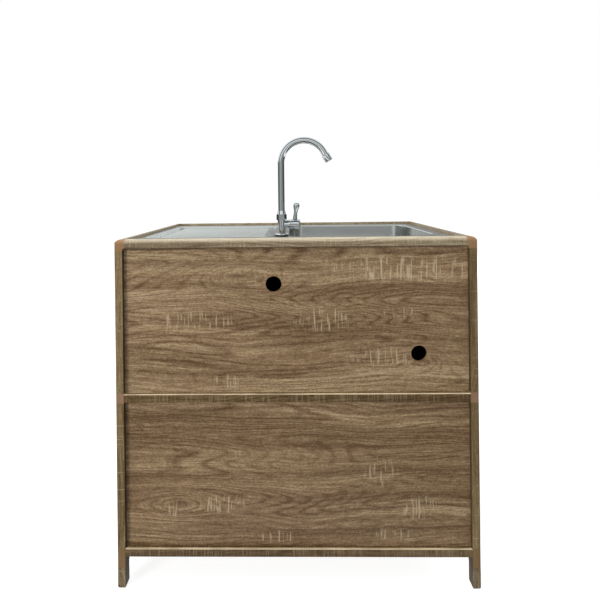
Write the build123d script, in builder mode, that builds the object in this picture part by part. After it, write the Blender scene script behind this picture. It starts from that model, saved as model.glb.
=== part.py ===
from build123d import *
import os

# Outdoor sink unit: a tube frame with panels, two doors, an inset sink and a swan-neck tap.
# Millimetres. The origin is on the floor at the middle of the footprint, +Z up.
# The user stands on the -Y side, at the doors. The +Y side is the rear, with the pipe holes.
# Left and right are the user's: right is +X.

os.makedirs("parts", exist_ok=True)

# Overall size of the frame
WIDTH = 900.0
DEPTH = 550.0
HEIGHT = 870.0

# Tubes: posts are 20 x 25, long rails 25 deep, side rails 20 wide
POST_X = 20.0
POST_Y = 25.0
RAIL_Z = 20.0
TOP_RAIL_Z = 22.0
WALL = 2.0
POST_ROUND = 2.5
RAIL_ROUND = 1.0
CROWN = 11.0

# Heights of the frame's levels
FOOT_TOP = 53.0
FOOT_ROUND = 4.0
BOTTOM_RAIL = 80.0
MIDDLE_RAIL = 464.0
TOP_RAIL = HEIGHT - TOP_RAIL_Z
BOTTOM_CONNECTOR_TOP = 102.0
MIDDLE_CONNECTOR_RISE = 2.5
TOP_CONNECTOR_SKIRT = 6.0
TOP_CONNECTOR_ARM = 4.0
PEG = 25.0
FOOT_PEG = 20.0

# Panels and the grooves that hold them
PANEL = 8.0
GROOVE = 5.0
BITE = 4.0
REAR_SETBACK = 10.0
SIDE_SETBACK = 8.0
FLOOR_BOARD = 86.0

# Pipe holes in the rear upper panel: place along X, height, radius
PIPE_HOLES = [(53.6, 754.8), (-307.2, 579.3)]
PIPE_HOLE_RADIUS = 20.0

# Sink
DECK = 864.0
SHEET = 1.2
SINK_GAP = 1.0
SINK_CORNER = 12.0
RIM_ROUND = 2.0
RIM_FOLD = 10.0
LEDGE_WIDTH = 10.0
LEDGE = 4.0
BASIN_X = -186.0
BASIN_WIDTH = 400.0
BASIN_LENGTH = 360.0
BASIN_DEPTH = 180.0
BASIN_CORNER = 50.0
BASIN_DRAFT = 12.0
BASIN_FOOT = 24.0
BASIN_LIP = 3.5
BOARD_X = 236.0
BOARD_WIDTH = 352.0
BOARD_LENGTH = 365.0
BOARD_DEPTH = 6.0
BOARD_CORNER = 22.0
RIB_COUNT = 9
RIB_PITCH = 35.0
RIB_LENGTH = 300.0
RIB_WIDTH = 11.0
RIB_RISE = 3.2

# Tap: its axis stands on the strip between basin and draining board
TAP_X = 35.0
TAP_Y = 140.0
SHANK_RADIUS = 10.0
SHANK_LENGTH = 50.0
TAP_HOLE_RADIUS = 11.0
WASHER = 2.0
FLANGE_RADIUS = 19.0
FLANGE = 4.0
BODY_RADIUS = 11.25
BODY_TOP = 907.0
SPIGOT_RADIUS = 10.85
SPIGOT_TOP = 917.0
COLLAR = 2.3
WATERWAY = 5.0
SOCKET_RADIUS = 6.55
SOCKET_DEPTH = 10.0
LOCK_NUT = 8.0
LOCK_NUT_FLAT = 16.0
SPOUT_TAIL_RADIUS = 6.5
BRANCH_Z = 895.0
BRANCH_RADIUS = 13.2
BRANCH_ROOT = 5.0
BRANCH_SWELL = 21.0
BRANCH_END = 25.0
VALVE_SEAT = 14.0
VALVE_RADIUS = 8.0
BONNET_END = 36.0
NUT_FLAT = 12.5
NUT_HEX_TOP = 923.0
NUT_TOP = 933.0
SPOUT_RADIUS = 9.0
SPOUT_BORE = 6.5
ARC_RADIUS = 64.0
ARC_Z = 1065.8
ARC_SWEEP = 150.0
SPOUT_STRAIGHT = 9.5
AERATOR_LENGTH = 21.5
AERATOR_RADIUS = 11.3
AERATOR_SOCKET = 8.0
SPINDLE_RADIUS = 4.0
SPINDLE_END = 46.0
RUNNING_GAP = 0.05
CAP_RADIUS = 14.0
CAP_START = 26.0
CAP_END = 53.0
CAP_HOLLOW = 9.5
CAP_FLOOR = 40.0
LEVER_THICK = 10.0
BULB_RADIUS = 8.8
BULB_REACH = 42.5
BULB_Z = 946.0

# Waste in the basin floor
WASTE_RADIUS = 43.0
WASTE_FLANGE_RADIUS = 56.0
WASTE_FLANGE = 2.0
WASTE_NUT = 12.0
WASTE_SEAT = 24.0
WASTE_BOWL = 45.0
OUTLET_RADIUS = 20.0
OUTLET_LENGTH = 40.0
BASKET_SHEET = 1.5
KNOB_RADIUS = 9.0
SLOT_RING = 21.0
SLOT_COUNT = 10

# Doors
DOOR_GAP = 3.0
DOOR_THICK = 16.0
DOOR_BOARD = 12.0
DOOR_SETBACK = 2.0
PIVOT_X = 420.0
STILE_INNER = 408.0
PULL_WIDTH = 22.0
FINGER_WALL = 3.0
FINGER_DEPTH = 11.0
PIN_RADIUS = 3.0
PIN_LENGTH = 7.5
BUSH_RADIUS = 6.0
BUSH_DEPTH = 5.5
BUSH_FLANGE_RADIUS = 8.0
CATCH = 22.0

# Derived places
X_OUT = WIDTH / 2
X_IN = X_OUT - POST_X
Y_OUT = DEPTH / 2
Y_IN = Y_OUT - POST_Y
REAR_PANEL_Y = (Y_OUT - REAR_SETBACK - PANEL, Y_OUT - REAR_SETBACK)
SIDE_PANEL_X = (X_OUT - SIDE_SETBACK - PANEL, X_OUT - SIDE_SETBACK)
POST_CHAMBER_X = (X_IN + GROOVE + WALL - 0.5, X_OUT - WALL)
POST_CHAMBER_Y = (Y_IN + GROOVE + WALL - 0.5, Y_OUT - WALL)
UPPER_PANEL_Z = (MIDDLE_RAIL + RAIL_Z - GROOVE, TOP_RAIL + BITE)
LOWER_PANEL_Z = (BOTTOM_RAIL + RAIL_Z - GROOVE, MIDDLE_RAIL + BITE)
FLOOR_Z = (FLOOR_BOARD, FLOOR_BOARD + PANEL)
RIM_BOTTOM = DECK - RIM_FOLD
BASIN_FLOOR = DECK - BASIN_DEPTH
PIVOT_Y = DOOR_SETBACK - Y_OUT + DOOR_THICK / 2

CORNERS = {
    "rear_right": (1, 1),
    "rear_left": (-1, 1),
    "front_right": (1, -1),
    "front_left": (-1, -1),
}

# Section planes of the four sides: local x runs inward from the outer face, local y is up
SIDES = {
    "rear": Plane(origin=(0, Y_OUT, 0), x_dir=(0, -1, 0), z_dir=(-1, 0, 0)),
    "front": Plane(origin=(0, -Y_OUT, 0), x_dir=(0, 1, 0), z_dir=(1, 0, 0)),
    "right": Plane(origin=(X_OUT, 0, 0), x_dir=(-1, 0, 0), z_dir=(0, 1, 0)),
    "left": Plane(origin=(-X_OUT, 0, 0), x_dir=(1, 0, 0), z_dir=(0, -1, 0)),
}


def block(x, y, z, mode=Mode.ADD):
    """A box between two limits on each axis, put into the part being built."""
    with Locations(((x[0] + x[1]) / 2, (y[0] + y[1]) / 2, (z[0] + z[1]) / 2)):
        Box(abs(x[1] - x[0]), abs(y[1] - y[0]), abs(z[1] - z[0]), mode=mode)


def area(x, y, mode=Mode.ADD):
    """A rectangle between two limits on each axis, put into the sketch being drawn."""
    with Locations(((x[0] + x[1]) / 2, (y[0] + y[1]) / 2)):
        Rectangle(abs(x[1] - x[0]), abs(y[1] - y[0]), mode=mode)


def turn(sign, limits):
    """The limits on one half of the unit, mirrored where the sign is negative."""
    return (sign * limits[0], sign * limits[1])


def save(piece, label):
    """Name a finished piece and write it to its own file."""
    piece.part.label = label
    export_step(piece.part, f"parts/{label}.step")


# Posts: a chamber for the connectors' pegs, a groove for each panel that they hold
def post(label, sx, sy, z):
    middle = (z[0] + z[1]) / 2
    with BuildPart() as tube:
        block(turn(sx, (X_IN, X_OUT)), turn(sy, (Y_IN, Y_OUT)), z)
        edges = tube.edges().filter_by(Axis.Z)
        fillet(edges.sort_by_distance((sx * X_OUT, sy * Y_OUT, middle))[0], POST_ROUND)
        edges = tube.edges().filter_by(Axis.Z)
        fillet(edges.sort_by_distance((sx * X_IN, sy * Y_OUT, middle))[0], RAIL_ROUND)
        block(turn(sx, POST_CHAMBER_X), turn(sy, POST_CHAMBER_Y), z, mode=Mode.SUBTRACT)
        side_groove = turn(sy, (Y_IN, Y_IN + GROOVE))
        block(turn(sx, SIDE_PANEL_X), side_groove, z, mode=Mode.SUBTRACT)
        if sy > 0:
            rear_groove = turn(sx, (X_IN, X_IN + GROOVE))
            block(rear_groove, REAR_PANEL_Y, z, mode=Mode.SUBTRACT)
    save(tube, label)


middle_connector_z = (
    MIDDLE_RAIL - MIDDLE_CONNECTOR_RISE,
    MIDDLE_RAIL + RAIL_Z + MIDDLE_CONNECTOR_RISE,
)
lower_post_z = (BOTTOM_CONNECTOR_TOP, middle_connector_z[0])
upper_post_z = (middle_connector_z[1], TOP_RAIL - TOP_CONNECTOR_SKIRT)
for place, (sx, sy) in CORNERS.items():
    post(f"post_lower_{place}", sx, sy, lower_post_z)
    post(f"post_upper_{place}", sx, sy, upper_post_z)


# Rails: one section per level, drawn inward from the outer face and run along the side
def rail(label, side, half_length, depth, z, chamber, grooves, crown=0.0, ledge_run=0.0):
    with BuildPart() as tube:
        with BuildSketch(SIDES[side]) as section:
            area((0, depth), z)
            corner = section.vertices().sort_by_distance((0, z[1], 0))[0]
            fillet(corner, crown if crown else RAIL_ROUND)
            corner = section.vertices().sort_by_distance((0, z[0], 0))[0]
            fillet(corner, RAIL_ROUND)
            area(chamber[0], chamber[1], mode=Mode.SUBTRACT)
            for groove in grooves:
                area(groove[0], groove[1], mode=Mode.SUBTRACT)
        extrude(amount=half_length, both=True)
        if ledge_run:
            with BuildSketch(SIDES[side]):
                area((depth, depth + LEDGE_WIDTH), (RIM_BOTTOM - LEDGE, RIM_BOTTOM))
            extrude(amount=ledge_run, both=True)
        if side == "front":
            inward = -1 if z[0] == BOTTOM_RAIL else 1
            level = z[1] if z[0] == BOTTOM_RAIL else z[0]
            for sign in (1, -1):
                with Locations((sign * PIVOT_X, PIVOT_Y, level + inward * BUSH_DEPTH / 2)):
                    Cylinder(BUSH_RADIUS, BUSH_DEPTH, mode=Mode.SUBTRACT)
    save(tube, label)


# Each side: how far its rails run, how deep they are, where its panel stands in them
rail_runs = {
    "rear": (X_IN, POST_Y, (REAR_SETBACK, REAR_SETBACK + PANEL)),
    "front": (X_IN, POST_Y, None),
    "right": (Y_IN, POST_X, (SIDE_SETBACK, SIDE_SETBACK + PANEL)),
    "left": (Y_IN, POST_X, (SIDE_SETBACK, SIDE_SETBACK + PANEL)),
}
for side, (run, depth, panel) in rail_runs.items():
    z = (BOTTOM_RAIL, BOTTOM_RAIL + RAIL_Z)
    chamber = ((WALL, depth - GROOVE - WALL + 0.5), (z[0] + WALL, z[1] - GROOVE - WALL + 0.5))
    grooves = [((depth - GROOVE, depth), FLOOR_Z)]
    if panel:
        grooves.append((panel, (z[1] - GROOVE, z[1])))
    rail(f"rail_bottom_{side}", side, run, depth, z, chamber, grooves)

    z = (TOP_RAIL, HEIGHT)
    chamber = ((CROWN - WALL, depth - WALL), (RIM_BOTTOM + 0.5, HEIGHT - WALL))
    grooves = [(panel, (z[0], z[0] + GROOVE))] if panel else []
    run_top = run - TOP_CONNECTOR_ARM
    ledge_run = run_top if depth == POST_Y else run - LEDGE_WIDTH
    rail(f"rail_top_{side}", side, run_top, depth, z, chamber, grooves, CROWN, ledge_run)

    if side != "front":
        z = (MIDDLE_RAIL, MIDDLE_RAIL + RAIL_Z)
        chamber = ((WALL, depth - WALL), (z[0] + GROOVE + 1.5, z[1] - GROOVE - 1.5))
        grooves = [(panel, (z[0], z[0] + GROOVE)), (panel, (z[1] - GROOVE, z[1]))]
        rail(f"rail_middle_{side}", side, run, depth, z, chamber, grooves)


# Connectors: mouldings with pegs into the tubes, slotted where a panel's corner passes
def connector_body(joint, sx, sy, z):
    """The block at a corner, rounded on its outer upright edge."""
    block(turn(sx, (X_IN, X_OUT)), turn(sy, (Y_IN, Y_OUT)), z)
    upright = joint.edges().filter_by(Axis.Z)
    fillet(upright.sort_by_distance((sx * X_OUT, sy * Y_OUT, sum(z) / 2))[0], POST_ROUND)


def panel_slots(sx, sy, z):
    """Room for the corners of the side panel and, at the rear, of the rear panel."""
    reach = TOP_CONNECTOR_ARM + GROOVE
    side_slot = turn(sy, (Y_IN - TOP_CONNECTOR_ARM, Y_IN - TOP_CONNECTOR_ARM + reach))
    block(turn(sx, SIDE_PANEL_X), side_slot, z, mode=Mode.SUBTRACT)
    if sy > 0:
        rear_slot = turn(sx, (X_IN - TOP_CONNECTOR_ARM, X_IN - TOP_CONNECTOR_ARM + reach))
        block(rear_slot, REAR_PANEL_Y, z, mode=Mode.SUBTRACT)


def rail_pegs(sx, sy, start, chamber_z, long_y, side_x):
    """The pegs into the long rail and the side rail, start being how far their arms reach."""
    block(turn(sx, (X_IN - start - PEG, X_IN - start)), turn(sy, long_y), chamber_z)
    block(turn(sx, side_x), turn(sy, (Y_IN - start - PEG, Y_IN - start)), chamber_z)


for place, (sx, sy) in CORNERS.items():
    # Bottom connector
    z = (FOOT_TOP, BOTTOM_CONNECTOR_TOP)
    with BuildPart() as connector_bottom:
        connector_body(connector_bottom, sx, sy, z)
        panel_slots(sx, sy, (BOTTOM_RAIL + RAIL_Z - GROOVE, z[1]))
        floor_x = turn(sx, (X_IN - GROOVE, X_IN + GROOVE))
        floor_y = turn(sy, (Y_IN - GROOVE, Y_IN + GROOVE))
        block(floor_x, floor_y, FLOOR_Z, mode=Mode.SUBTRACT)
        peg_z = (z[0] - FOOT_PEG, z[0])
        block(turn(sx, POST_CHAMBER_X), turn(sy, POST_CHAMBER_Y), peg_z)
        peg_z = (z[1], z[1] + PEG)
        block(turn(sx, POST_CHAMBER_X), turn(sy, POST_CHAMBER_Y), peg_z)
        chamber_z = (BOTTOM_RAIL + WALL, BOTTOM_RAIL + RAIL_Z - GROOVE - WALL + 0.5)
        rail_pegs(sx, sy, 0, chamber_z, POST_CHAMBER_Y, POST_CHAMBER_X)
    save(connector_bottom, f"connector_bottom_{place}")

    # Middle connector: the front ones carry a side rail only
    z = middle_connector_z
    with BuildPart() as connector_middle:
        connector_body(connector_middle, sx, sy, z)
        panel_slots(sx, sy, (z[0], MIDDLE_RAIL + GROOVE))
        panel_slots(sx, sy, (MIDDLE_RAIL + RAIL_Z - GROOVE, z[1]))
        for peg_z in ((z[0] - PEG, z[0]), (z[1], z[1] + PEG)):
            block(turn(sx, POST_CHAMBER_X), turn(sy, POST_CHAMBER_Y), peg_z)
        chamber_z = (MIDDLE_RAIL + GROOVE + 1.5, MIDDLE_RAIL + RAIL_Z - GROOVE - 1.5)
        side_peg = turn(sy, (Y_IN - PEG, Y_IN))
        block(turn(sx, (X_IN + WALL, X_OUT - WALL)), side_peg, chamber_z)
        if sy > 0:
            long_peg = turn(sx, (X_IN - PEG, X_IN))
            block(long_peg, (Y_IN + WALL, Y_OUT - WALL), chamber_z)
    save(connector_middle, f"connector_middle_{place}")

    # Top connector: a short arm on each rail, all its upper edges rounded like the rails
    z = (TOP_RAIL - TOP_CONNECTOR_SKIRT, HEIGHT)
    arm_z = (TOP_RAIL, HEIGHT)
    with BuildPart() as connector_top:
        connector_body(connector_top, sx, sy, z)
        arm_x = turn(sx, (X_IN - TOP_CONNECTOR_ARM, X_IN))
        block(arm_x, turn(sy, (Y_IN, Y_OUT)), arm_z)
        arm_y = turn(sy, (Y_IN - TOP_CONNECTOR_ARM, Y_IN))
        block(turn(sx, (X_IN, X_OUT)), arm_y, arm_z)
        for side in ("rear" if sy > 0 else "front", "right" if sx > 0 else "left"):
            with BuildSketch(SIDES[side]):
                area((0, CROWN), (HEIGHT - CROWN, HEIGHT))
                with Locations((CROWN, HEIGHT - CROWN)):
                    Circle(CROWN, mode=Mode.SUBTRACT)
            extrude(amount=X_OUT, both=True, mode=Mode.SUBTRACT)
        panel_slots(sx, sy, (z[0], TOP_RAIL + GROOVE))
        peg_z = (z[0] - PEG, z[0])
        block(turn(sx, POST_CHAMBER_X), turn(sy, POST_CHAMBER_Y), peg_z)
        chamber_z = (RIM_BOTTOM + 0.5, HEIGHT - WALL)
        long_y = (Y_IN + WALL, Y_OUT - CROWN + WALL)
        side_x = (X_IN + WALL, X_OUT - CROWN + WALL)
        rail_pegs(sx, sy, TOP_CONNECTOR_ARM, chamber_z, long_y, side_x)
    save(connector_top, f"connector_top_{place}")

# Feet: one moulding under each bottom connector, its lower end rounded
with BuildPart() as feet:
    block((X_IN, X_OUT), (Y_IN, Y_OUT), (0, FOOT_TOP))
    upright = feet.edges().filter_by(Axis.Z)
    fillet(upright.sort_by_distance((X_OUT, Y_OUT, FOOT_TOP / 2))[0], POST_ROUND)
    fillet(feet.faces().sort_by(Axis.Z)[0].edges(), FOOT_ROUND)
    block(POST_CHAMBER_X, POST_CHAMBER_Y, (FOOT_TOP - FOOT_PEG, FOOT_TOP), mode=Mode.SUBTRACT)
    mirror(about=Plane.YZ)
    mirror(about=Plane.XZ)
save(feet, "feet")

# Rear panels, the upper one with the two pipe holes
rear_face = Plane(origin=(0, REAR_PANEL_Y[1], 0), x_dir=(1, 0, 0), z_dir=(0, -1, 0))
with BuildPart() as panel_rear_upper:
    with BuildSketch(rear_face):
        area((-X_IN - BITE, X_IN + BITE), UPPER_PANEL_Z)
        with Locations(*PIPE_HOLES):
            Circle(PIPE_HOLE_RADIUS, mode=Mode.SUBTRACT)
    extrude(amount=PANEL)
save(panel_rear_upper, "panel_rear_upper")

with BuildPart() as panel_rear_lower:
    with BuildSketch(rear_face):
        area((-X_IN - BITE, X_IN + BITE), LOWER_PANEL_Z)
    extrude(amount=PANEL)
save(panel_rear_lower, "panel_rear_lower")

# Side panels
for side, sign in (("right", 1), ("left", -1)):
    for level, z in (("upper", UPPER_PANEL_Z), ("lower", LOWER_PANEL_Z)):
        with BuildPart() as panel_side:
            block(turn(sign, SIDE_PANEL_X), (-Y_IN - BITE, Y_IN + BITE), z)
        save(panel_side, f"panel_{side}_{level}")

# Cabinet floor, held in the grooves of the four bottom rails
with BuildPart() as panel_floor:
    block((-X_IN - BITE, X_IN + BITE), (-Y_IN - BITE, Y_IN + BITE), FLOOR_Z)
save(panel_floor, "panel_floor")


# Sink: pressed from one sheet, the basin and the draining board sunk into the deck
def basin_form(grow, top):
    """The basin's form: a drafted rounded box with a filleted foot, grown outward."""
    with BuildPart() as form:
        with BuildSketch(Plane.XY.offset(top)):
            with Locations((BASIN_X, 0)):
                RectangleRounded(
                    BASIN_WIDTH + 2 * grow, BASIN_LENGTH + 2 * grow, BASIN_CORNER + grow
                )
        with BuildSketch(Plane.XY.offset(BASIN_FLOOR - grow)):
            with Locations((BASIN_X, 0)):
                RectangleRounded(
                    BASIN_WIDTH - 2 * BASIN_DRAFT + 2 * grow,
                    BASIN_LENGTH - 2 * BASIN_DRAFT + 2 * grow,
                    BASIN_CORNER - BASIN_DRAFT + grow,
                )
        loft(ruled=True)
        fillet(form.faces().sort_by(Axis.Z)[0].edges(), BASIN_FOOT + grow)
    return form.part


def board_form(grow, z):
    """The draining board's sunk field between two heights, grown outward."""
    with BuildPart() as form:
        with BuildSketch(Plane.XY.offset(z[0])):
            with Locations((BOARD_X, 0)):
                RectangleRounded(
                    BOARD_WIDTH + 2 * grow, BOARD_LENGTH + 2 * grow, BOARD_CORNER + grow
                )
        extrude(amount=z[1] - z[0])
    return form.part


sink_x = WIDTH - 2 * POST_X - 2 * SINK_GAP
sink_y = DEPTH - 2 * POST_Y - 2 * SINK_GAP
with BuildPart() as sink:
    with BuildSketch(Plane.XY.offset(RIM_BOTTOM)):
        RectangleRounded(sink_x, sink_y, SINK_CORNER)
    extrude(amount=RIM_FOLD)
    chamfer(sink.faces().sort_by(Axis.Z)[-1].edges(), RIM_ROUND)
    with BuildSketch(Plane.XY.offset(RIM_BOTTOM)):
        RectangleRounded(sink_x - 2 * SHEET, sink_y - 2 * SHEET, SINK_CORNER - SHEET)
    extrude(amount=RIM_FOLD - 2 * SHEET, mode=Mode.SUBTRACT)
    with BuildSketch(Plane.XY.offset(DECK - 2 * SHEET)):
        RectangleRounded(sink_x - 4 * SHEET, sink_y - 4 * SHEET, SINK_CORNER - 2 * SHEET)
    extrude(amount=SHEET, mode=Mode.SUBTRACT)
    add(basin_form(SHEET, DECK - SHEET))
    under_lip = sink.edges().filter_by_position(Axis.Z, DECK - SHEET - 0.01, DECK - SHEET + 0.01)
    under_lip = under_lip.filter_by_position(Axis.X, BASIN_X - 203, BASIN_X + 203)
    under_lip = under_lip.filter_by_position(Axis.Y, -183, 183)
    chamfer(under_lip, BASIN_LIP - SHEET / 2)
    add(board_form(SHEET, (DECK - BOARD_DEPTH - SHEET, DECK - SHEET)))
    add(basin_form(0, DECK), mode=Mode.SUBTRACT)
    lip = sink.edges().filter_by_position(Axis.Z, DECK - 0.01, DECK + 0.01)
    lip = lip.filter_by_position(Axis.X, BASIN_X - 203, BASIN_X + 203)
    lip = lip.filter_by_position(Axis.Y, -183, 183)
    chamfer(lip, BASIN_LIP)
    add(board_form(0, (DECK - BOARD_DEPTH, DECK)), mode=Mode.SUBTRACT)
    with BuildSketch(Plane.XY.offset(DECK - BOARD_DEPTH)):
        with Locations((BOARD_X, 0)):
            with GridLocations(1, RIB_PITCH, 1, RIB_COUNT):
                SlotOverall(RIB_LENGTH, RIB_WIDTH)
    extrude(amount=RIB_RISE)
    with Locations((TAP_X, TAP_Y, DECK)):
        Hole(TAP_HOLE_RADIUS, depth=4 * SHEET)
    with Locations((BASIN_X, 0, BASIN_FLOOR)):
        Hole(WASTE_RADIUS + 0.5, depth=4 * SHEET)
save(sink, "sink")


# Turned pieces of the tap and the waste
def drum(centre, radius, z, mode=Mode.ADD):
    """An upright round bar between two heights, put into the part being built."""
    with Locations((centre[0], centre[1], (z[0] + z[1]) / 2)):
        Cylinder(radius, z[1] - z[0], mode=mode)


def bar(radius, reach, mode=Mode.ADD):
    """A round bar on the tap's side branch, between two distances from the tap's axis."""
    with Locations((TAP_X - (reach[0] + reach[1]) / 2, TAP_Y, BRANCH_Z)):
        Cylinder(radius, reach[1] - reach[0], rotation=(0, 90, 0), mode=mode)


TAP = (TAP_X, TAP_Y)
shank_bottom = DECK - SHANK_LENGTH
washer_top = DECK + WASHER
lock_nut_top = DECK - SHEET
socket_bottom = BODY_TOP - SOCKET_DEPTH

# Tap body: shank, flange, upright barrel with the spout's socket, side branch for the valve
with BuildPart() as tap_body:
    drum(TAP, FLANGE_RADIUS, (washer_top, washer_top + FLANGE))
    chamfer(tap_body.edges().sort_by(Axis.Z)[-1], FLANGE - 1.0)
    drum(TAP, BODY_RADIUS, (washer_top, BODY_TOP))
    drum(TAP, SPIGOT_RADIUS, (BODY_TOP, SPIGOT_TOP))
    drum(TAP, SHANK_RADIUS, (shank_bottom, washer_top))
    with Locations((TAP_X - (BRANCH_ROOT + BRANCH_SWELL) / 2, TAP_Y, BRANCH_Z)):
        swell = BRANCH_SWELL - BRANCH_ROOT
        Cone(BRANCH_RADIUS, VALVE_RADIUS, swell, rotation=(0, 90, 0))
    bar(BRANCH_RADIUS, (BRANCH_SWELL, BRANCH_END))
    drum(TAP, SOCKET_RADIUS, (socket_bottom, SPIGOT_TOP), mode=Mode.SUBTRACT)
    drum(TAP, WATERWAY, (shank_bottom, socket_bottom), mode=Mode.SUBTRACT)
    bar(WATERWAY - 1.0, (0, VALVE_SEAT), mode=Mode.SUBTRACT)
    bar(VALVE_RADIUS, (VALVE_SEAT, BRANCH_END), mode=Mode.SUBTRACT)
save(tap_body, "tap_body")

with BuildPart() as tap_washer:
    drum(TAP, FLANGE_RADIUS + 0.8, (DECK, washer_top))
    drum(TAP, TAP_HOLE_RADIUS, (DECK, washer_top), mode=Mode.SUBTRACT)
save(tap_washer, "tap_washer")

with BuildPart() as tap_lock_nut:
    with BuildSketch(Plane(origin=(TAP_X, TAP_Y, lock_nut_top - LOCK_NUT))):
        RegularPolygon(LOCK_NUT_FLAT, 6, major_radius=False)
        Circle(SHANK_RADIUS, mode=Mode.SUBTRACT)
    extrude(amount=LOCK_NUT)
save(tap_lock_nut, "tap_lock_nut")

# Collar nut: a hexagon below and a cone above, keeping the spout's collar down
collar_top = SPIGOT_TOP + COLLAR
with BuildPart() as tap_collar_nut:
    with BuildSketch(Plane(origin=(TAP_X, TAP_Y, BODY_TOP))):
        RegularPolygon(NUT_FLAT, 6, major_radius=False)
    extrude(amount=NUT_HEX_TOP - BODY_TOP)
    with Locations((TAP_X, TAP_Y, (NUT_HEX_TOP + NUT_TOP) / 2)):
        Cone(NUT_FLAT, SPOUT_RADIUS + 1.2, NUT_TOP - NUT_HEX_TOP)
    drum(TAP, SPOUT_RADIUS + 0.3, (BODY_TOP, NUT_TOP), mode=Mode.SUBTRACT)
    drum(TAP, SPIGOT_RADIUS, (BODY_TOP, collar_top + 0.3), mode=Mode.SUBTRACT)
save(tap_collar_nut, "tap_collar_nut")

# Spout: an upright tube, one arc and a short straight end, its tail turning in the socket
swan_plane = Plane(origin=(TAP_X, TAP_Y, 0), x_dir=(-1, 0, 0), z_dir=(0, 1, 0))
with BuildPart() as tap_spout:
    with BuildLine(swan_plane) as swan_path:
        upright = Line((0, collar_top), (0, ARC_Z))
        arc = CenterArc((ARC_RADIUS, ARC_Z), ARC_RADIUS, 180, -ARC_SWEEP)
        end_angle = 180 - ARC_SWEEP
        PolarLine(arc @ 1, SPOUT_STRAIGHT + AERATOR_SOCKET, end_angle - 90)
    swan_wire = swan_path.wires()[0]
    with BuildSketch(Plane(origin=(TAP_X, TAP_Y, collar_top))):
        Circle(SPOUT_RADIUS)
        Circle(SPOUT_BORE, mode=Mode.SUBTRACT)
    sweep(path=swan_wire)
    drum(TAP, SPIGOT_RADIUS - 0.4, (SPIGOT_TOP + 0.2, collar_top))
    drum(TAP, SPOUT_TAIL_RADIUS, (socket_bottom + 2, SPIGOT_TOP + 0.2))
    drum(TAP, WATERWAY, (socket_bottom + 2, collar_top), mode=Mode.SUBTRACT)
save(tap_spout, "tap_spout")

# Aerator: a sleeve on the spout's end with a perforated disc set back in its mouth
spout_end = swan_wire @ 1
spout_aim = swan_wire % 1
aerator_plane = Plane(origin=spout_end - spout_aim * AERATOR_SOCKET, z_dir=spout_aim)
with BuildPart() as tap_aerator:
    with BuildSketch(aerator_plane):
        Circle(AERATOR_RADIUS)
    extrude(amount=AERATOR_LENGTH)
    chamfer(tap_aerator.edges().filter_by(GeomType.CIRCLE), 1.0)
    with BuildSketch(aerator_plane):
        Circle(SPOUT_RADIUS)
    extrude(amount=AERATOR_SOCKET, mode=Mode.SUBTRACT)
    with BuildSketch(aerator_plane.offset(AERATOR_SOCKET)):
        Circle(SPOUT_BORE)
    extrude(amount=AERATOR_LENGTH - AERATOR_SOCKET, mode=Mode.SUBTRACT)
    with BuildSketch(aerator_plane.offset(AERATOR_LENGTH - 4.0)):
        Circle(SPOUT_BORE)
        with GridLocations(3.0, 1, 3, 1):
            Rectangle(1.2, 8.0, mode=Mode.SUBTRACT)
    extrude(amount=1.5)
save(tap_aerator, "tap_aerator")

# Valve in the side branch: the bonnet is fast, the spindle and the handle turn together
with BuildPart() as tap_bonnet:
    bar(VALVE_RADIUS, (VALVE_SEAT, BRANCH_END))
    bar(VALVE_RADIUS - 0.5, (BRANCH_END, BONNET_END))
    bar(SPINDLE_RADIUS + RUNNING_GAP, (VALVE_SEAT, BONNET_END), mode=Mode.SUBTRACT)
save(tap_bonnet, "tap_bonnet")

with BuildPart() as tap_spindle:
    bar(SPINDLE_RADIUS, (VALVE_SEAT + 1.0, SPINDLE_END))
save(tap_spindle, "tap_spindle")

lever_foot = BRANCH_Z + 8.0
with BuildPart() as tap_handle:
    with BuildSketch(swan_plane.offset(-LEVER_THICK / 2)) as lever_outline:
        with BuildLine():
            Polyline(
                (30.5, lever_foot),
                (44.0, lever_foot),
                (43.2, BULB_Z),
                (BULB_REACH - BULB_RADIUS, BULB_Z),
                close=True,
            )
        make_face()
        with Locations((BULB_REACH, BULB_Z)):
            Circle(BULB_RADIUS)
        notch = lever_outline.vertices().sort_by_distance((TAP_X - 44.0, TAP_Y, BULB_Z - 9))[0]
        fillet(notch, 6.0)
    extrude(amount=LEVER_THICK)
    chamfer(tap_handle.faces().filter_by(Axis.Y).edges(), 2.5)
    bar(CAP_RADIUS, (CAP_START, CAP_END))
    rims = tap_handle.edges().filter_by(GeomType.CIRCLE).filter_by(lambda e: e.radius > 13)
    fillet(rims.sort_by(Axis.X)[0], 8.0)
    bar(CAP_HOLLOW, (CAP_START, CAP_FLOOR), mode=Mode.SUBTRACT)
    bar(SPINDLE_RADIUS, (CAP_FLOOR, SPINDLE_END), mode=Mode.SUBTRACT)
save(tap_handle, "tap_handle")

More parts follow.
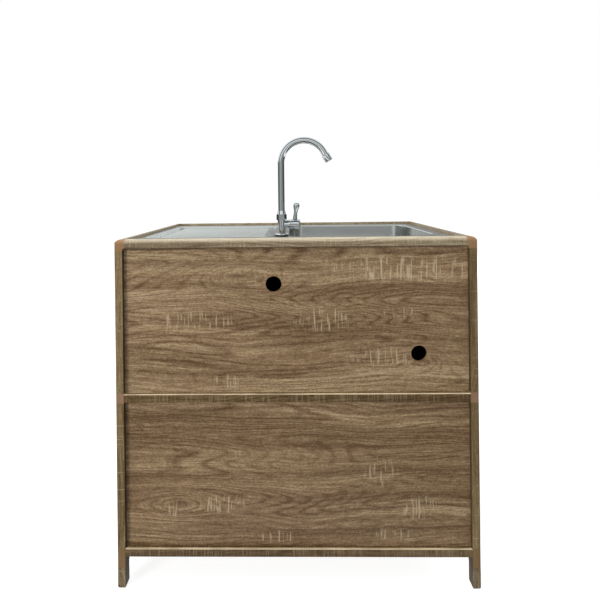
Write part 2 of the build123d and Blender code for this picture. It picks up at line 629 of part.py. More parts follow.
# Waste: a bowl with its flange on the basin floor, drained by a straight outlet
WASTE = (BASIN_X, 0)
seat = BASIN_FLOOR - WASTE_SEAT
bowl_bottom = BASIN_FLOOR - WASTE_BOWL
outlet_bottom = bowl_bottom - OUTLET_LENGTH
flange_top = BASIN_FLOOR + WASTE_FLANGE
with BuildPart() as waste_flange:
    drum(WASTE, WASTE_FLANGE_RADIUS, (BASIN_FLOOR, flange_top))
    chamfer(waste_flange.edges().sort_by(Axis.Z)[-1], 1.5)
    drum(WASTE, WASTE_RADIUS, (seat - 3, BASIN_FLOOR))
    drum(WASTE, WASTE_RADIUS - 3, (bowl_bottom, seat - 3))
    drum(WASTE, OUTLET_RADIUS, (outlet_bottom, bowl_bottom))
    drum(WASTE, WASTE_RADIUS - 1.5, (seat, flange_top), mode=Mode.SUBTRACT)
    drum(WASTE, WASTE_RADIUS - 4.7, (bowl_bottom + 2, seat), mode=Mode.SUBTRACT)
    drum(WASTE, OUTLET_RADIUS - 2, (outlet_bottom, bowl_bottom + 2), mode=Mode.SUBTRACT)
save(waste_flange, "waste_flange")

nut_top = BASIN_FLOOR - SHEET
with BuildPart() as waste_nut:
    with BuildSketch(Plane(origin=(BASIN_X, 0, nut_top - WASTE_NUT))):
        Circle(WASTE_FLANGE_RADIUS)
        with PolarLocations(WASTE_FLANGE_RADIUS, 8):
            Rectangle(6, 10)
        Circle(WASTE_RADIUS, mode=Mode.SUBTRACT)
    extrude(amount=WASTE_NUT)
save(waste_nut, "waste_nut")

# Waste basket: rests on the bowl's step and lifts out by its knob
basket_foot = bowl_bottom + 5.0
cup_radius = WASTE_RADIUS - 5.5
with BuildPart() as waste_basket:
    drum(WASTE, WASTE_RADIUS - 2.3, (seat, seat + BASKET_SHEET))
    drum(WASTE, cup_radius, (basket_foot, seat))
    cup_inside = (basket_foot + BASKET_SHEET, seat + BASKET_SHEET)
    drum(WASTE, cup_radius - BASKET_SHEET, cup_inside, mode=Mode.SUBTRACT)
    with BuildSketch(Plane(origin=(BASIN_X, 0, basket_foot))):
        with PolarLocations(SLOT_RING, SLOT_COUNT):
            Rectangle(16.0, 4.0)
    extrude(amount=BASKET_SHEET, mode=Mode.SUBTRACT)
    drum(WASTE, 3.0, (basket_foot, BASIN_FLOOR))
    drum(WASTE, KNOB_RADIUS, (BASIN_FLOOR - 2, BASIN_FLOOR + 5))
    chamfer(waste_basket.edges().sort_by(Axis.Z)[-1], 2.0)
save(waste_basket, "waste_basket")

# Doors: a board between a pivot stile with a round nose and a stile with a finger groove
door_z = (BOTTOM_RAIL + RAIL_Z + DOOR_GAP, TOP_RAIL - DOOR_GAP)
door_height = door_z[1] - door_z[0]
door_y = (DOOR_SETBACK - Y_OUT, DOOR_SETBACK - Y_OUT + DOOR_THICK)
board_y = (PIVOT_Y - DOOR_BOARD / 2, PIVOT_Y + DOOR_BOARD / 2)
pull_x = (DOOR_GAP / 2, DOOR_GAP / 2 + PULL_WIDTH)
finger_x = (pull_x[0] + FINGER_WALL, pull_x[1] - GROOVE - FINGER_WALL)
finger_y = (door_y[0], door_y[0] + FINGER_DEPTH)
for side, sign in (("right", 1), ("left", -1)):
    with BuildPart() as pivot_stile:
        with BuildSketch(Plane.XY.offset(door_z[0])):
            area(turn(sign, (STILE_INNER, PIVOT_X)), door_y)
            with Locations((sign * PIVOT_X, PIVOT_Y)):
                Circle(DOOR_THICK / 2)
            area(turn(sign, (STILE_INNER, STILE_INNER + GROOVE)), board_y, mode=Mode.SUBTRACT)
        extrude(amount=door_height)
        with Locations((sign * PIVOT_X, PIVOT_Y, sum(door_z) / 2)):
            Cylinder(PIN_RADIUS, door_height + 2 * PIN_LENGTH)
    save(pivot_stile, f"door_{side}_pivot_stile")

    with BuildPart() as pull_stile:
        with BuildSketch(Plane.XY.offset(door_z[0])) as pull_section:
            area(turn(sign, pull_x), door_y)
            fillet(pull_section.vertices(), RAIL_ROUND)
            area(turn(sign, finger_x), finger_y, mode=Mode.SUBTRACT)
            area(turn(sign, (pull_x[1] - GROOVE, pull_x[1])), board_y, mode=Mode.SUBTRACT)
        extrude(amount=door_height)
    save(pull_stile, f"door_{side}_pull_stile")

    with BuildPart() as door_board:
        block(turn(sign, (pull_x[1] - BITE, STILE_INNER + BITE)), board_y, door_z)
    save(door_board, f"door_{side}_board")

# Pivot bushings: pressed into the rails, the lower flanges carrying the doors
lower_seat = BOTTOM_RAIL + RAIL_Z
with BuildPart() as door_bushings:
    for level, inward, flange in ((lower_seat, -1, DOOR_GAP - 0.1), (TOP_RAIL, 1, 2.0)):
        with BuildSketch(Plane(origin=(PIVOT_X, PIVOT_Y, level), z_dir=(0, 0, inward))):
            Circle(BUSH_RADIUS)
        extrude(amount=BUSH_DEPTH)
        with BuildSketch(Plane(origin=(PIVOT_X, PIVOT_Y, level), z_dir=(0, 0, -inward))):
            Circle(BUSH_FLANGE_RADIUS)
        extrude(amount=flange)
        with Locations((PIVOT_X, PIVOT_Y, level)):
            Cylinder(PIN_RADIUS + RUNNING_GAP, 4 * BUSH_DEPTH, mode=Mode.SUBTRACT)
    mirror(about=Plane.YZ)
save(door_bushings, "door_bushings")

# Catch: a block under the front top rail that stops both doors
with BuildPart() as door_catch:
    block((-CATCH, CATCH), (door_y[1] + 0.3, 12 - Y_IN), (TOP_RAIL - 12, TOP_RAIL))
    fillet(door_catch.faces().sort_by(Axis.Z)[0].edges(), 2.0)
save(door_catch, "door_catch")
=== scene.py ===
# %% [markdown]
# # Outdoor sink unit
# A garden sink stands in a cabinet of square tubes. Printed wood foil covers the tubes, boards
# fill the sides and the back, and a pressed steel sink with a swan-neck tap is let into the top.
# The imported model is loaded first. It is the fixed frame: every piece below sits in its place
# and moves with its bodies, so nothing has to be fitted by eye.

from math import cos, pi, radians, sin, sqrt

import bmesh
import bpy
from bmesh.types import BMEdge, BMFace, BMVert
from mathutils import Matrix, Vector


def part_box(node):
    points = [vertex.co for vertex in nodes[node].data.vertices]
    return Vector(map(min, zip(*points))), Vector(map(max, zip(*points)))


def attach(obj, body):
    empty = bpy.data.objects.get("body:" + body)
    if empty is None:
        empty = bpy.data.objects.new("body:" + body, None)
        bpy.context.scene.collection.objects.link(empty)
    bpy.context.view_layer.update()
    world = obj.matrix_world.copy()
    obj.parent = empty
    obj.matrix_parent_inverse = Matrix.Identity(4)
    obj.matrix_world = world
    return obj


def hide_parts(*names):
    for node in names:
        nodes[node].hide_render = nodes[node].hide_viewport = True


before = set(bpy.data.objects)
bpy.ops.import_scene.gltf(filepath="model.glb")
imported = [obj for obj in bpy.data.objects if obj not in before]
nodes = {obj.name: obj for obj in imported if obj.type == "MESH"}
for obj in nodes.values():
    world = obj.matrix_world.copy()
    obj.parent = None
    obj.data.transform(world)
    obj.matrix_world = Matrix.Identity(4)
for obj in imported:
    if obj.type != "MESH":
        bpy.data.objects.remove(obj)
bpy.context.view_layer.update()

# %% [markdown]
# ## Camera
# The picture was taken from behind the cabinet, just above the sink, with the camera level: the
# uprights stay parallel although the unit stands in the lower part of the frame. A level camera
# with a vertical shift does the same. Its place was found by matching the corners of the frame.
# The lens is 7% shorter than the match asks for and the shift about half, so that the whole
# unit, with its tap, also stays in the frame when the same camera is walked round it.


# %% Place the camera
def add_object(name, data):
    """A new object in the scene."""
    made = bpy.data.objects.new(name, data)
    bpy.context.scene.collection.objects.link(made)
    return made


camera_data = bpy.data.cameras.new("photo_camera")
camera_data.sensor_width = 36.0
camera_data.lens = 24.62
camera_data.shift_x = 0.0225
camera_data.shift_y = -0.172
CAMERA_PLACE = (0.0033, 1.2914, 0.9834)
HEADING, TILT, ROLL = radians(180.855), radians(89.981), radians(-0.642)
camera = add_object("photo_camera", camera_data)
camera.matrix_world = (
    Matrix.Translation(CAMERA_PLACE)
    @ Matrix.Rotation(HEADING, 4, "Z")
    @ Matrix.Rotation(TILT, 4, "X")
    @ Matrix.Rotation(ROLL, 4, "Z")
)
bpy.context.scene.camera = camera
print("camera at", [round(value, 3) for value in camera.location], "lens", camera_data.lens)

# %% [markdown]
# ## Helpers for node trees
# A procedural finish is a small graph of nodes. These helpers keep each graph short: one adds a
# node and fills or links its inputs, and the others wrap the nodes that are used most.


# %% Node helpers
def put(tree, kind, inputs=None, **settings):
    """Add a node, set its options, and give each named input a value or a link."""
    made = tree.nodes.new(kind)
    for name, value in settings.items():
        setattr(made, name, value)
    for name, value in (inputs or {}).items():
        if isinstance(value, bpy.types.NodeSocket):
            tree.links.new(value, made.inputs[name])
        else:
            made.inputs[name].default_value = value
    return made


def calc(tree, operation, *values, clamp=False):
    """One arithmetic step."""
    made = put(tree, "ShaderNodeMath", dict(enumerate(values)), operation=operation)
    made.use_clamp = clamp
    return made.outputs[0]


def span(tree, value, low, high, to_low=0.0, to_high=1.0, smooth=False):
    """Stretch a value from one range to another, clamped at both ends."""
    kind = "SMOOTHSTEP" if smooth else "LINEAR"
    parts = {"Value": value, "From Min": low, "From Max": high, "To Min": to_low, "To Max": to_high}
    return put(tree, "ShaderNodeMapRange", parts, interpolation_type=kind).outputs[0]


def vector(tree, operation, *values, out=0):
    """One arithmetic step on vectors."""
    made = put(tree, "ShaderNodeVectorMath", dict(enumerate(values)), operation=operation)
    return made.outputs[out]


def joined(tree, x=0.0, y=0.0, z=0.0):
    """A vector made of three values."""
    return put(tree, "ShaderNodeCombineXYZ", {0: x, 1: y, 2: z}).outputs[0]


def split(tree, place):
    """The three values of a vector."""
    return put(tree, "ShaderNodeSeparateXYZ", {0: place}).outputs


def object_place(tree):
    """The object's own coordinates."""
    return put(tree, "ShaderNodeTexCoord").outputs["Object"]


def mix(tree, factor, a, b):
    """Mix two values."""
    return put(tree, "ShaderNodeMix", {0: factor, 2: a, 3: b}).outputs[0]


def blend(tree, factor, a, b, mode="MIX"):
    """Mix two colours."""
    made = put(tree, "ShaderNodeMix", {0: factor, 6: a, 7: b}, data_type="RGBA", blend_type=mode)
    return made.outputs[2]


def stretch(tree, place, size, shift=(0.0, 0.0, 0.0)):
    """Scale a place along its three axes, then move it."""
    parts = {"Vector": place, "Scale": size, "Location": shift}
    return put(tree, "ShaderNodeMapping", parts).outputs[0]


def noise(tree, place, detail=2.0, rough=0.5):
    """Soft random values around one half."""
    parts = {"Vector": place, "Scale": 1.0, "Detail": detail, "Roughness": rough}
    return put(tree, "ShaderNodeTexNoise", parts).outputs["Fac"]


def paint(red, green, blue):
    """A colour as it looks on a screen, from 0 to 255, as the linear values that shaders use."""
    levels = (red / 255, green / 255, blue / 255)
    return tuple(((v + 0.055) / 1.055) ** 2.4 if v > 0.04 else v / 12.92 for v in levels) + (1.0,)


def new_group(name, inputs, outputs):
    """An empty node group: its tree, and the sockets that come in and go out."""
    tree = bpy.data.node_groups.new(name, "ShaderNodeTree")
    for title, kind, value in inputs:
        socket = tree.interface.new_socket(title, in_out="INPUT", socket_type="NodeSocket" + kind)
        if value is not None:
            socket.default_value = value
    for title, kind in outputs:
        tree.interface.new_socket(title, in_out="OUTPUT", socket_type="NodeSocket" + kind)
    return tree, tree.nodes.new("NodeGroupInput").outputs, tree.nodes.new("NodeGroupOutput").inputs


def use(tree, group, **inputs):
    """Place a node group in a material. A name's underscores stand for its spaces."""
    titles = {name.replace("_", " "): value for name, value in inputs.items()}
    return put(tree, "ShaderNodeGroup", titles, node_tree=group).outputs


print("node helpers ready")

# %% [markdown]
# ## Sawn oak print
# The boards are chipboard with a printed paper face: a weathered, rough-sawn oak. Three things
# make the print. Broad bands drift slowly along the board, thin growth rings and streaks run
# through them, and short dark flecks lie along the grain. All are the same noise, stretched by
# different amounts, because real grain is also one pattern seen at several scales; the rings
# are a noise folded back and forth, which draws its contour lines. The swell of a knot adds
# rings round it. Place is in metres: x runs along the grain, y across it and z through the
# board.

# %% Node group: sawn oak print
oak_print, have, give = new_group(
    "sawn_oak_print",
    [
        ("Place", "Vector", None),
        ("Seed", "Float", None),
        ("Tone Shift", "Float", 0.5),
        ("Swell", "Float", 0.0),
        ("Dark", "Color", paint(90, 66, 42)),
        ("Middle", "Color", paint(131, 107, 79)),
        ("Light", "Color", paint(174, 153, 120)),
    ],
    [("Color", "Color"), ("Height", "Float"), ("Tone", "Float")],
)
seeded = vector(oak_print, "ADD", have["Place"], joined(oak_print, x=have["Seed"]))
slow = noise(oak_print, stretch(oak_print, seeded, (2.0, 5.0, 5.0)), 1.0)
quick = noise(oak_print, stretch(oak_print, seeded, (9.0, 26.0, 26.0)), 2.0)
slow_bend = calc(oak_print, "MULTIPLY", calc(oak_print, "SUBTRACT", slow, 0.5), 0.075)
quick_bend = calc(oak_print, "MULTIPLY", calc(oak_print, "SUBTRACT", quick, 0.5), 0.012)
bend = calc(oak_print, "ADD", slow_bend, quick_bend)
wavy = vector(oak_print, "ADD", seeded, joined(oak_print, y=bend))
bands = noise(oak_print, stretch(oak_print, wavy, (1.0, 15.0, 15.0)), 2.0, 0.55)
rings = noise(oak_print, stretch(oak_print, wavy, (0.9, 9.0, 9.0), (3.0, 0.0, 0.0)), 1.0)
knot_rings = calc(oak_print, "MULTIPLY", have["Swell"], 9.0)
rings = calc(oak_print, "MULTIPLY_ADD", rings, 64.0, knot_rings)
rings = span(oak_print, calc(oak_print, "PINGPONG", rings, 1.0), 0.0, 0.5)
streaks = noise(oak_print, stretch(oak_print, wavy, (1.2, 120.0, 120.0)), 3.0, 0.6)
flecks = noise(oak_print, stretch(oak_print, wavy, (26.0, 330.0, 330.0)), 2.0, 0.6)
fibres = noise(oak_print, stretch(oak_print, seeded, (210.0, 330.0, 330.0)), 1.0)
faint = noise(oak_print, stretch(oak_print, seeded, (4.0, 11.0, 11.0), (1.0, 5.0, 0.0)), 1.0)
faint = span(oak_print, faint, 0.35, 0.65, 0.10, 0.42)
rings = calc(oak_print, "SUBTRACT", rings, 0.8)
tone = calc(oak_print, "MULTIPLY_ADD", rings, faint, have["Tone Shift"])
LAYERS = [(bands, 1.4), (streaks, 1.15), (flecks, 1.05), (fibres, 0.9)]
for layer, amount in LAYERS:
    tone = calc(oak_print, "MULTIPLY_ADD", calc(oak_print, "SUBTRACT", layer, 0.5), amount, tone)
low_mix = blend(oak_print, span(oak_print, tone, 0.0, 0.5), have["Dark"], have["Middle"])
full_mix = blend(oak_print, span(oak_print, tone, 0.5, 1.0), low_mix, have["Light"])
drift = noise(oak_print, stretch(oak_print, seeded, (1.5, 7.0, 7.0), (7.0, 0.0, 0.0)), 2.0)
warm = blend(oak_print, 0.10, full_mix, (1.0, 0.76, 0.66, 1.0), "MULTIPLY")
green = blend(oak_print, 0.08, full_mix, (0.90, 1.0, 0.62, 1.0), "MULTIPLY")
tinted = blend(oak_print, span(oak_print, drift, 0.36, 0.64), warm, green)
oak_print.links.new(tinted, give["Color"])
oak_print.links.new(calc(oak_print, "ADD", fibres, streaks), give["Height"])
oak_print.links.new(tone, give["Tone"])
print("sawn oak print:", len(oak_print.nodes), "nodes")

# %% [markdown]
# ## Saw strokes, patches and knots
# A band saw leaves pale strokes across the grain. On the boards they come in groups, so the
# strokes are masked by soft patches; on the narrow tubes they run nearly everywhere. A knot
# pushes the grain aside: the place that the print reads is pulled towards the knot's middle,
# which spreads its lines around it, and the middle itself is darkened.

# %% Node group: saw strokes
saw_strokes, have, give = new_group(
    "saw_strokes",
    [
        ("Place", "Vector", None),
        ("Per Metre", "Float", None),
        ("Across", "Float", None),
        ("Cover", "Float", None),
    ],
    [("Mask", "Float")],
)
place = split(saw_strokes, have["Place"])
along = calc(saw_strokes, "MULTIPLY", place[0], have["Per Metre"])
across = calc(saw_strokes, "MULTIPLY", place[1], have["Across"])
through = calc(saw_strokes, "MULTIPLY", place[2], have["Across"])
field = noise(saw_strokes, joined(saw_strokes, along, across, through), 1.0, 0.4)
edge = calc(saw_strokes, "SUBTRACT", 0.78, calc(saw_strokes, "MULTIPLY", have["Cover"], 0.36))
above = calc(saw_strokes, "SUBTRACT", field, edge)
saw_strokes.links.new(span(saw_strokes, above, 0.0, 0.09), give["Mask"])

# %% Node group: soft patch
soft_patch, have, give = new_group(
    "soft_patch",
    [("Place", "Vector", None), ("Centre", "Vector", None), ("Size", "Vector", None)],
    [("Mask", "Float")],
)
offset = vector(soft_patch, "SUBTRACT", have["Place"], have["Centre"])
scaled = vector(soft_patch, "DIVIDE", offset, have["Size"])
ragged = noise(soft_patch, stretch(soft_patch, have["Place"], (30.0, 60.0, 60.0)), 2.0)
ragged = calc(soft_patch, "SUBTRACT", ragged, 0.5)
reach = vector(soft_patch, "LENGTH", scaled, out="Value")
reach = calc(soft_patch, "MULTIPLY_ADD", ragged, 0.9, reach)
soft_patch.links.new(span(soft_patch, reach, 0.55, 1.05, 1.0, 0.0, True), give["Mask"])

# %% Node group: knot
knot_eye, have, give = new_group(
    "knot",
    [
        ("Place", "Vector", None),
        ("Centre", "Vector", None),
        ("Size", "Vector", None),
        ("Pull", "Float", None),
    ],
    [("Place", "Vector"), ("Core", "Float"), ("Swell", "Float")],
)
offset = vector(knot_eye, "SUBTRACT", have["Place"], have["Centre"])
scaled = vector(knot_eye, "DIVIDE", offset, have["Size"])
reach = vector(knot_eye, "LENGTH", scaled, out="Value")
minus_square = calc(knot_eye, "MULTIPLY", calc(knot_eye, "POWER", reach, 2.0), -1.0)
fade = calc(knot_eye, "EXPONENT", minus_square)
pull = calc(knot_eye, "MULTIPLY", fade, have["Pull"])
side = split(knot_eye, offset)[1]
moved = calc(knot_eye, "MULTIPLY", calc(knot_eye, "MULTIPLY", side, pull), -1.0)
placed = vector(knot_eye, "ADD", have["Place"], joined(knot_eye, y=moved))
knot_eye.links.new(placed, give["Place"])
knot_eye.links.new(fade, give["Swell"])
knot_eye.links.new(span(knot_eye, reach, 0.05, 0.3, 1.0, 0.0, True), give["Core"])
print("strokes, patch and knot groups ready")

# %% [markdown]
# ## Materials made of the print
# Each board and tube shows the print along its own length, so a material is made for each
# direction of the grain. The object's own coordinates are reordered so that the first one runs
# along the grain. The foil is satin: a little gloss, broken up by the printed pores.

# %% Material helpers
GRAIN = {"x": (0, 2, 1), "y": (1, 2, 0), "z": (2, 0, 1)}


def new_material(name):
    """A material with its tree and its shader."""
    made = bpy.data.materials.new(name)
    made.use_nodes = True
    return made, made.node_tree, made.node_tree.nodes["Principled BSDF"]


def grain_place(tree, way):
    """The object's coordinates with the first along the grain."""
    axes = split(tree, object_place(tree))
    return joined(tree, *(axes[axis] for axis in GRAIN[way]))


def relief(tree, shader, height, depth, strength=0.4):
    """Feed a height to the shader's normal."""
    parts = {"Height": height, "Distance": depth, "Strength": strength}
    tree.links.new(put(tree, "ShaderNodeBump", parts).outputs[0], shader.inputs["Normal"])


STROKE = paint(196, 178, 148)
# A painted highlight for the tops of the ledges, where light from above catches them.
LEDGE_HIGHLIGHT = paint(206, 188, 156)
# Painted shade, for the inner sides and under the top rails' crown.
PAINTED_SHADE = paint(34, 26, 18)
# A painted highlight for the top rails' crown.
CROWN_HIGHLIGHT = paint(226, 216, 192)
OUTER_SKIN = (0.2700, 0.2715)
# Where the painted shade and highlights reach: inner sides, ledge tops, under and on the crown.
SHADE_REACH = (0.0002, 0.0008)
LEDGE_HIGHLIGHT_HEIGHT = 0.0012
SHADE_UNDER_CROWN = 0.003
CROWN_HIGHLIGHT_INSET = (0.011, 0.001)


def painted_inner_shade(tree, x, knot_core_and_shaded_side):
    """Painted shade for faces on the inner side of a post, given how far that side is off x = 0."""
    low, high = SHADE_REACH
    return span(tree, calc(tree, "ABSOLUTE", x), knot_core_and_shaded_side + low, knot_core_and_shaded_side + high, 0.7, 0.0)


def oak_board(name, way, seed, knots=(), patches=(), shift=0.5, drifting=0.5):
    """A board with the print, its knots and its groups of saw strokes."""
    made, tree, shader = new_material(name)
    place = grain_place(tree, way)
    flat_place = place
    cores = []
    swell = 0.0
    for centre, size, pull in knots:
        eye = use(tree, knot_eye, Place=place, Centre=centre, Size=size, Pull=pull)
        place = eye["Place"]
        swell = calc(tree, "ADD", eye["Swell"], swell)
        cores.append(eye["Core"])
    print_out = use(tree, oak_print, Place=place, Seed=seed, Tone_Shift=shift, Swell=swell)
    colour = print_out["Color"]
    for knot_core_and_shaded_side in cores:
        colour = blend(tree, calc(tree, "MULTIPLY", knot_core_and_shaded_side, 0.55), colour, paint(84, 58, 40))
    strokes = use(
        tree, saw_strokes, Place=flat_place, Per_Metre=235.0, Across=20.0, Cover=0.61
    )["Mask"]
    field = noise(tree, stretch(tree, flat_place, (5.0, 16.0, 16.0), (seed, 3.0, 0.0)), 1.0)
    mask = calc(tree, "MULTIPLY", span(tree, field, 0.58, 0.68), drifting)
    for centre, size, strength in patches:
        spot = use(tree, soft_patch, Place=flat_place, Centre=centre, Size=size)["Mask"]
        mask = calc(tree, "MAXIMUM", mask, calc(tree, "MULTIPLY", spot, strength))
    shown = calc(tree, "MULTIPLY", strokes, mask)
    colour = blend(tree, calc(tree, "MULTIPLY", shown, 0.60), colour, STROKE)
    tree.links.new(colour, shader.inputs["Base Color"])
    gloss = span(tree, print_out["Tone"], 0.1, 0.9, 0.52, 0.42)
    tree.links.new(gloss, shader.inputs["Roughness"])
    shader.inputs["Specular IOR Level"].default_value = 0.35
    relief(tree, shader, print_out["Height"], 0.0004, 0.35)
    return made


def foil_tube(
    name, way, seed, tones, cover=0.42, per_metre=240.0, strength=0.5, coat=0.05,
    lit_ledges=(), knot_core_and_shaded_side=0.0, crown=None, crown_highlight_amount=0.32, sheen=0.30,
):
    """A tube in the print with saw strokes; painted highlights and painted shade where asked."""
    made, tree, shader = new_material(name)
    place = grain_place(tree, way)
    colours = dict(zip(("Dark", "Middle", "Light"), tones))
    print_out = use(tree, oak_print, Place=place, Seed=seed, **colours)
    strokes = use(
        tree, saw_strokes, Place=place, Per_Metre=per_metre, Across=14.0, Cover=cover
    )["Mask"]
    groups = noise(tree, stretch(tree, place, (14.0, 40.0, 40.0), (seed, 0.0, 0.0)), 1.0)
    shown = calc(tree, "MULTIPLY", strokes, span(tree, groups, 0.38, 0.58, 0.35, 1.0))
    colour = blend(tree, calc(tree, "MULTIPLY", shown, strength), print_out["Color"], STROKE)
    here = split(tree, object_place(tree))
    outer = span(tree, calc(tree, "ABSOLUTE", here[1]), *OUTER_SKIN)
    # A painted highlight along the top of each ledge, where light from above catches it.
    for top in lit_ledges:
        under = calc(tree, "SUBTRACT", top, here[2])
        near_top = calc(tree, "COMPARE", under, 0.0, LEDGE_HIGHLIGHT_HEIGHT)
        wear_and_highlight = calc(tree, "MULTIPLY", near_top, span(tree, groups, 0.30, 0.60, 0.45, 1.0))
        colour = blend(tree, calc(tree, "MULTIPLY", wear_and_highlight, outer), colour, LEDGE_HIGHLIGHT)
    # Painted shade on the inner sides of posts and feet.
    if knot_core_and_shaded_side:
        colour = blend(tree, painted_inner_shade(tree, here[0], knot_core_and_shaded_side), colour, PAINTED_SHADE)
    # A painted highlight on the top rails' crown, where light from above catches the satin foil.
    if crown:
        low, high = crown
        wear_and_highlight = span(tree, here[2], low + CROWN_HIGHLIGHT_INSET[0], high - CROWN_HIGHLIGHT_INSET[1], 0.0, crown_highlight_amount)
        colour = blend(tree, wear_and_highlight, colour, CROWN_HIGHLIGHT)
        # A line of painted shade under the crown, where the rail overhangs the board.
        shade_under_rail = span(tree, here[2], low, low + SHADE_UNDER_CROWN, 0.75, 0.0)
        colour = blend(tree, shade_under_rail, colour, PAINTED_SHADE)
    tree.links.new(colour, shader.inputs["Base Color"])
    gloss = span(tree, print_out["Tone"], 0.1, 0.9, 0.50, 0.40)
    tree.links.new(gloss, shader.inputs["Roughness"])
    shader.inputs["Specular IOR Level"].default_value = sheen
    shader.inputs["Coat Weight"].default_value = coat
    shader.inputs["Coat Roughness"].default_value = 0.22
    relief(tree, shader, print_out["Height"], 0.0003, 0.3)
    return made


print("board and tube materials can be made")

# %% [markdown]
# ## Boards
# The two rear boards are the ones in the picture, so their knots and saw marks are placed: one
# knot left of the upper pipe hole with the grain flowing round it, one near the left end of
# the lower board, and the groups of strokes. The other boards have them at random.

# %% Board materials
REAR_FACE = 0.265


def marks_on_rear(*rows):
    """Centre, size and strength of each mark, from its x, height, two reaches and strength."""
    return [((x, z, REAR_FACE), (long, high, 1.0), much) for x, z, long, high, much in rows]


rear_upper = oak_board(
    "oak_rear_upper",
    "x",
    1.7,
    knots=marks_on_rear(
        (0.140, 0.7755, 0.070, 0.026, 0.65),
        (0.086, 0.768, 0.060, 0.026, 0.30),
        (-0.318, 0.560, 0.060, 0.022, 0.55),
    ),
    patches=marks_on_rear(
        (0.255, 0.665, 0.115, 0.028, 0.8),
        (0.175, 0.512, 0.050, 0.020, 0.7),
        (-0.070, 0.667, 0.080, 0.034, 0.9),
        (-0.275, 0.790, 0.215, 0.036, 1.0),
        (-0.255, 0.680, 0.060, 0.016, 0.7),
        (-0.215, 0.572, 0.095, 0.026, 0.8),
    ),
    drifting=0.0,
)
rear_lower = oak_board(
    "oak_rear_lower",
    "x",
    9.4,
    knots=marks_on_rear((0.292, 0.205, 0.080, 0.030, 0.7)),
    patches=marks_on_rear(
        (0.190, 0.204, 0.075, 0.026, 0.95),
        (0.310, 0.195, 0.022, 0.026, 0.9),
        (-0.206, 0.285, 0.045, 0.048, 0.7),
        (-0.305, 0.194, 0.060, 0.032, 0.8),
        (-0.235, 0.128, 0.055, 0.016, 0.7),
        (0.047, 0.122, 0.075, 0.016, 0.8),
        (0.150, 0.330, 0.060, 0.012, 0.4),
    ),
    shift=0.36,
    drifting=0.0,
)
side_board = oak_board("oak_side", "y", 4.1)
door_oak = oak_board("oak_door", "z", 6.6)
floor_oak = oak_board("oak_floor", "x", 12.3)
print("board materials:", rear_upper.name, rear_lower.name, side_board.name, door_oak.name)

# %% [markdown]
# ## Tubes and corner pieces
# The posts carry a duller, greener print than the rails, and the top rails are paler, with a
# painted highlight along their crown and a line of painted shade under it. The mid and bottom
# rails have a painted highlight on top of their ledges, and the posts have painted shade on their
# inner sides. The corner pieces are solid plastic in a plain tan close to the print, each level
# from its own batch: orange at the top, pinkish in the middle; the bottom ones have painted shade
# on their inner sides. The feet are darker: they have less sheen, and painted shade on their
# inner sides. Moulded plastic is even in colour but has a fine texture and faint cloudy flow marks.

# %% Tube materials
POST_TONES = (paint(86, 67, 40), paint(114, 95, 64), paint(144, 126, 92))
FOOT_TONES = (paint(94, 80, 58), paint(128, 113, 89), paint(158, 144, 119))
RAIL_TONES = (paint(58, 41, 23), paint(84, 65, 39), paint(112, 93, 63))
LEDGES = [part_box(rail)[1][2] for rail in ("rail_middle_rear", "rail_bottom_rear")]
TOP_TONES = (paint(92, 76, 54), paint(126, 111, 86), paint(158, 144, 118))
DOOR_TONES = (paint(92, 74, 54), paint(124, 106, 81), paint(152, 134, 108))
INNER_SIDE = min(abs(corner[0]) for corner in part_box("post_upper_rear_left"))
# Posts: painted shade on their inner sides.
post_foil = foil_tube("foil_posts", "z", 2.2, POST_TONES, cover=0.4, strength=0.35, knot_core_and_shaded_side=INNER_SIDE)
# Mid and bottom rails: a painted highlight on top of their ledges.
fine = {"cover": 0.72, "per_metre": 360.0, "strength": 0.18, "lit_ledges": LEDGES, "sheen": 0.2}
rail_foil_x = foil_tube("foil_long_rails", "x", 5.0, RAIL_TONES, **fine)
rail_foil_y = foil_tube("foil_side_rails", "y", 5.0, RAIL_TONES, **fine)
CROWN = [corner[2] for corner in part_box("rail_top_rear")]
# Top rails: a painted highlight on the crown, and a line of painted shade below it.
crowned = {"cover": 0.6, "per_metre": 330.0, "strength": 0.3, "coat": 0.5, "crown": CROWN}
top_foil_rear = foil_tube("foil_top_rear", "x", 8.0, TOP_TONES, **crowned)
top_foil_x = foil_tube("foil_top_front", "x", 8.0, TOP_TONES, crown_highlight_amount=0.08, **crowned)
top_foil_y = foil_tube("foil_top_side", "y", 8.0, TOP_TONES, crown_highlight_amount=0.08, **crowned)
# Feet: painted shade on their inner sides, and little sheen.
foot_inner_shade = {"knot_core_and_shaded_side": INNER_SIDE, "sheen": 0.06, "coat": 0.0}
foot_foil = foil_tube("foil_feet", "z", 7.7, FOOT_TONES, cover=0.5, strength=0.30, **foot_inner_shade)
door_foil = foil_tube("foil_doors", "z", 3.5, DOOR_TONES, cover=0.4, strength=0.35)
print("tube materials ready")

# %% Plastic materials
moulded, have, give = new_group(
    "moulded_plastic",
    [("Place", "Vector", None), ("Colour", "Color", None), ("Cloud", "Float", None)],
    [("Color", "Color"), ("Height", "Float"), ("Gloss", "Float")],
)
cloud = noise(moulded, stretch(moulded, have["Place"], (30.0, 30.0, 12.0)), 3.0)
grit = noise(moulded, stretch(moulded, have["Place"], (900.0, 900.0, 900.0)), 1.0)
shade = calc(moulded, "MULTIPLY_ADD", calc(moulded, "SUBTRACT", cloud, 0.5), have["Cloud"], 1.0)
shade = calc(moulded, "MULTIPLY_ADD", calc(moulded, "SUBTRACT", grit, 0.5), 0.10, shade)
grey = put(moulded, "ShaderNodeCombineColor", {0: shade, 1: shade, 2: shade}).outputs[0]
moulded.links.new(blend(moulded, 1.0, have["Colour"], grey, "MULTIPLY"), give["Color"])
moulded.links.new(grit, give["Height"])
moulded.links.new(span(moulded, cloud, 0.3, 0.7, 0.44, 0.56), give["Gloss"])


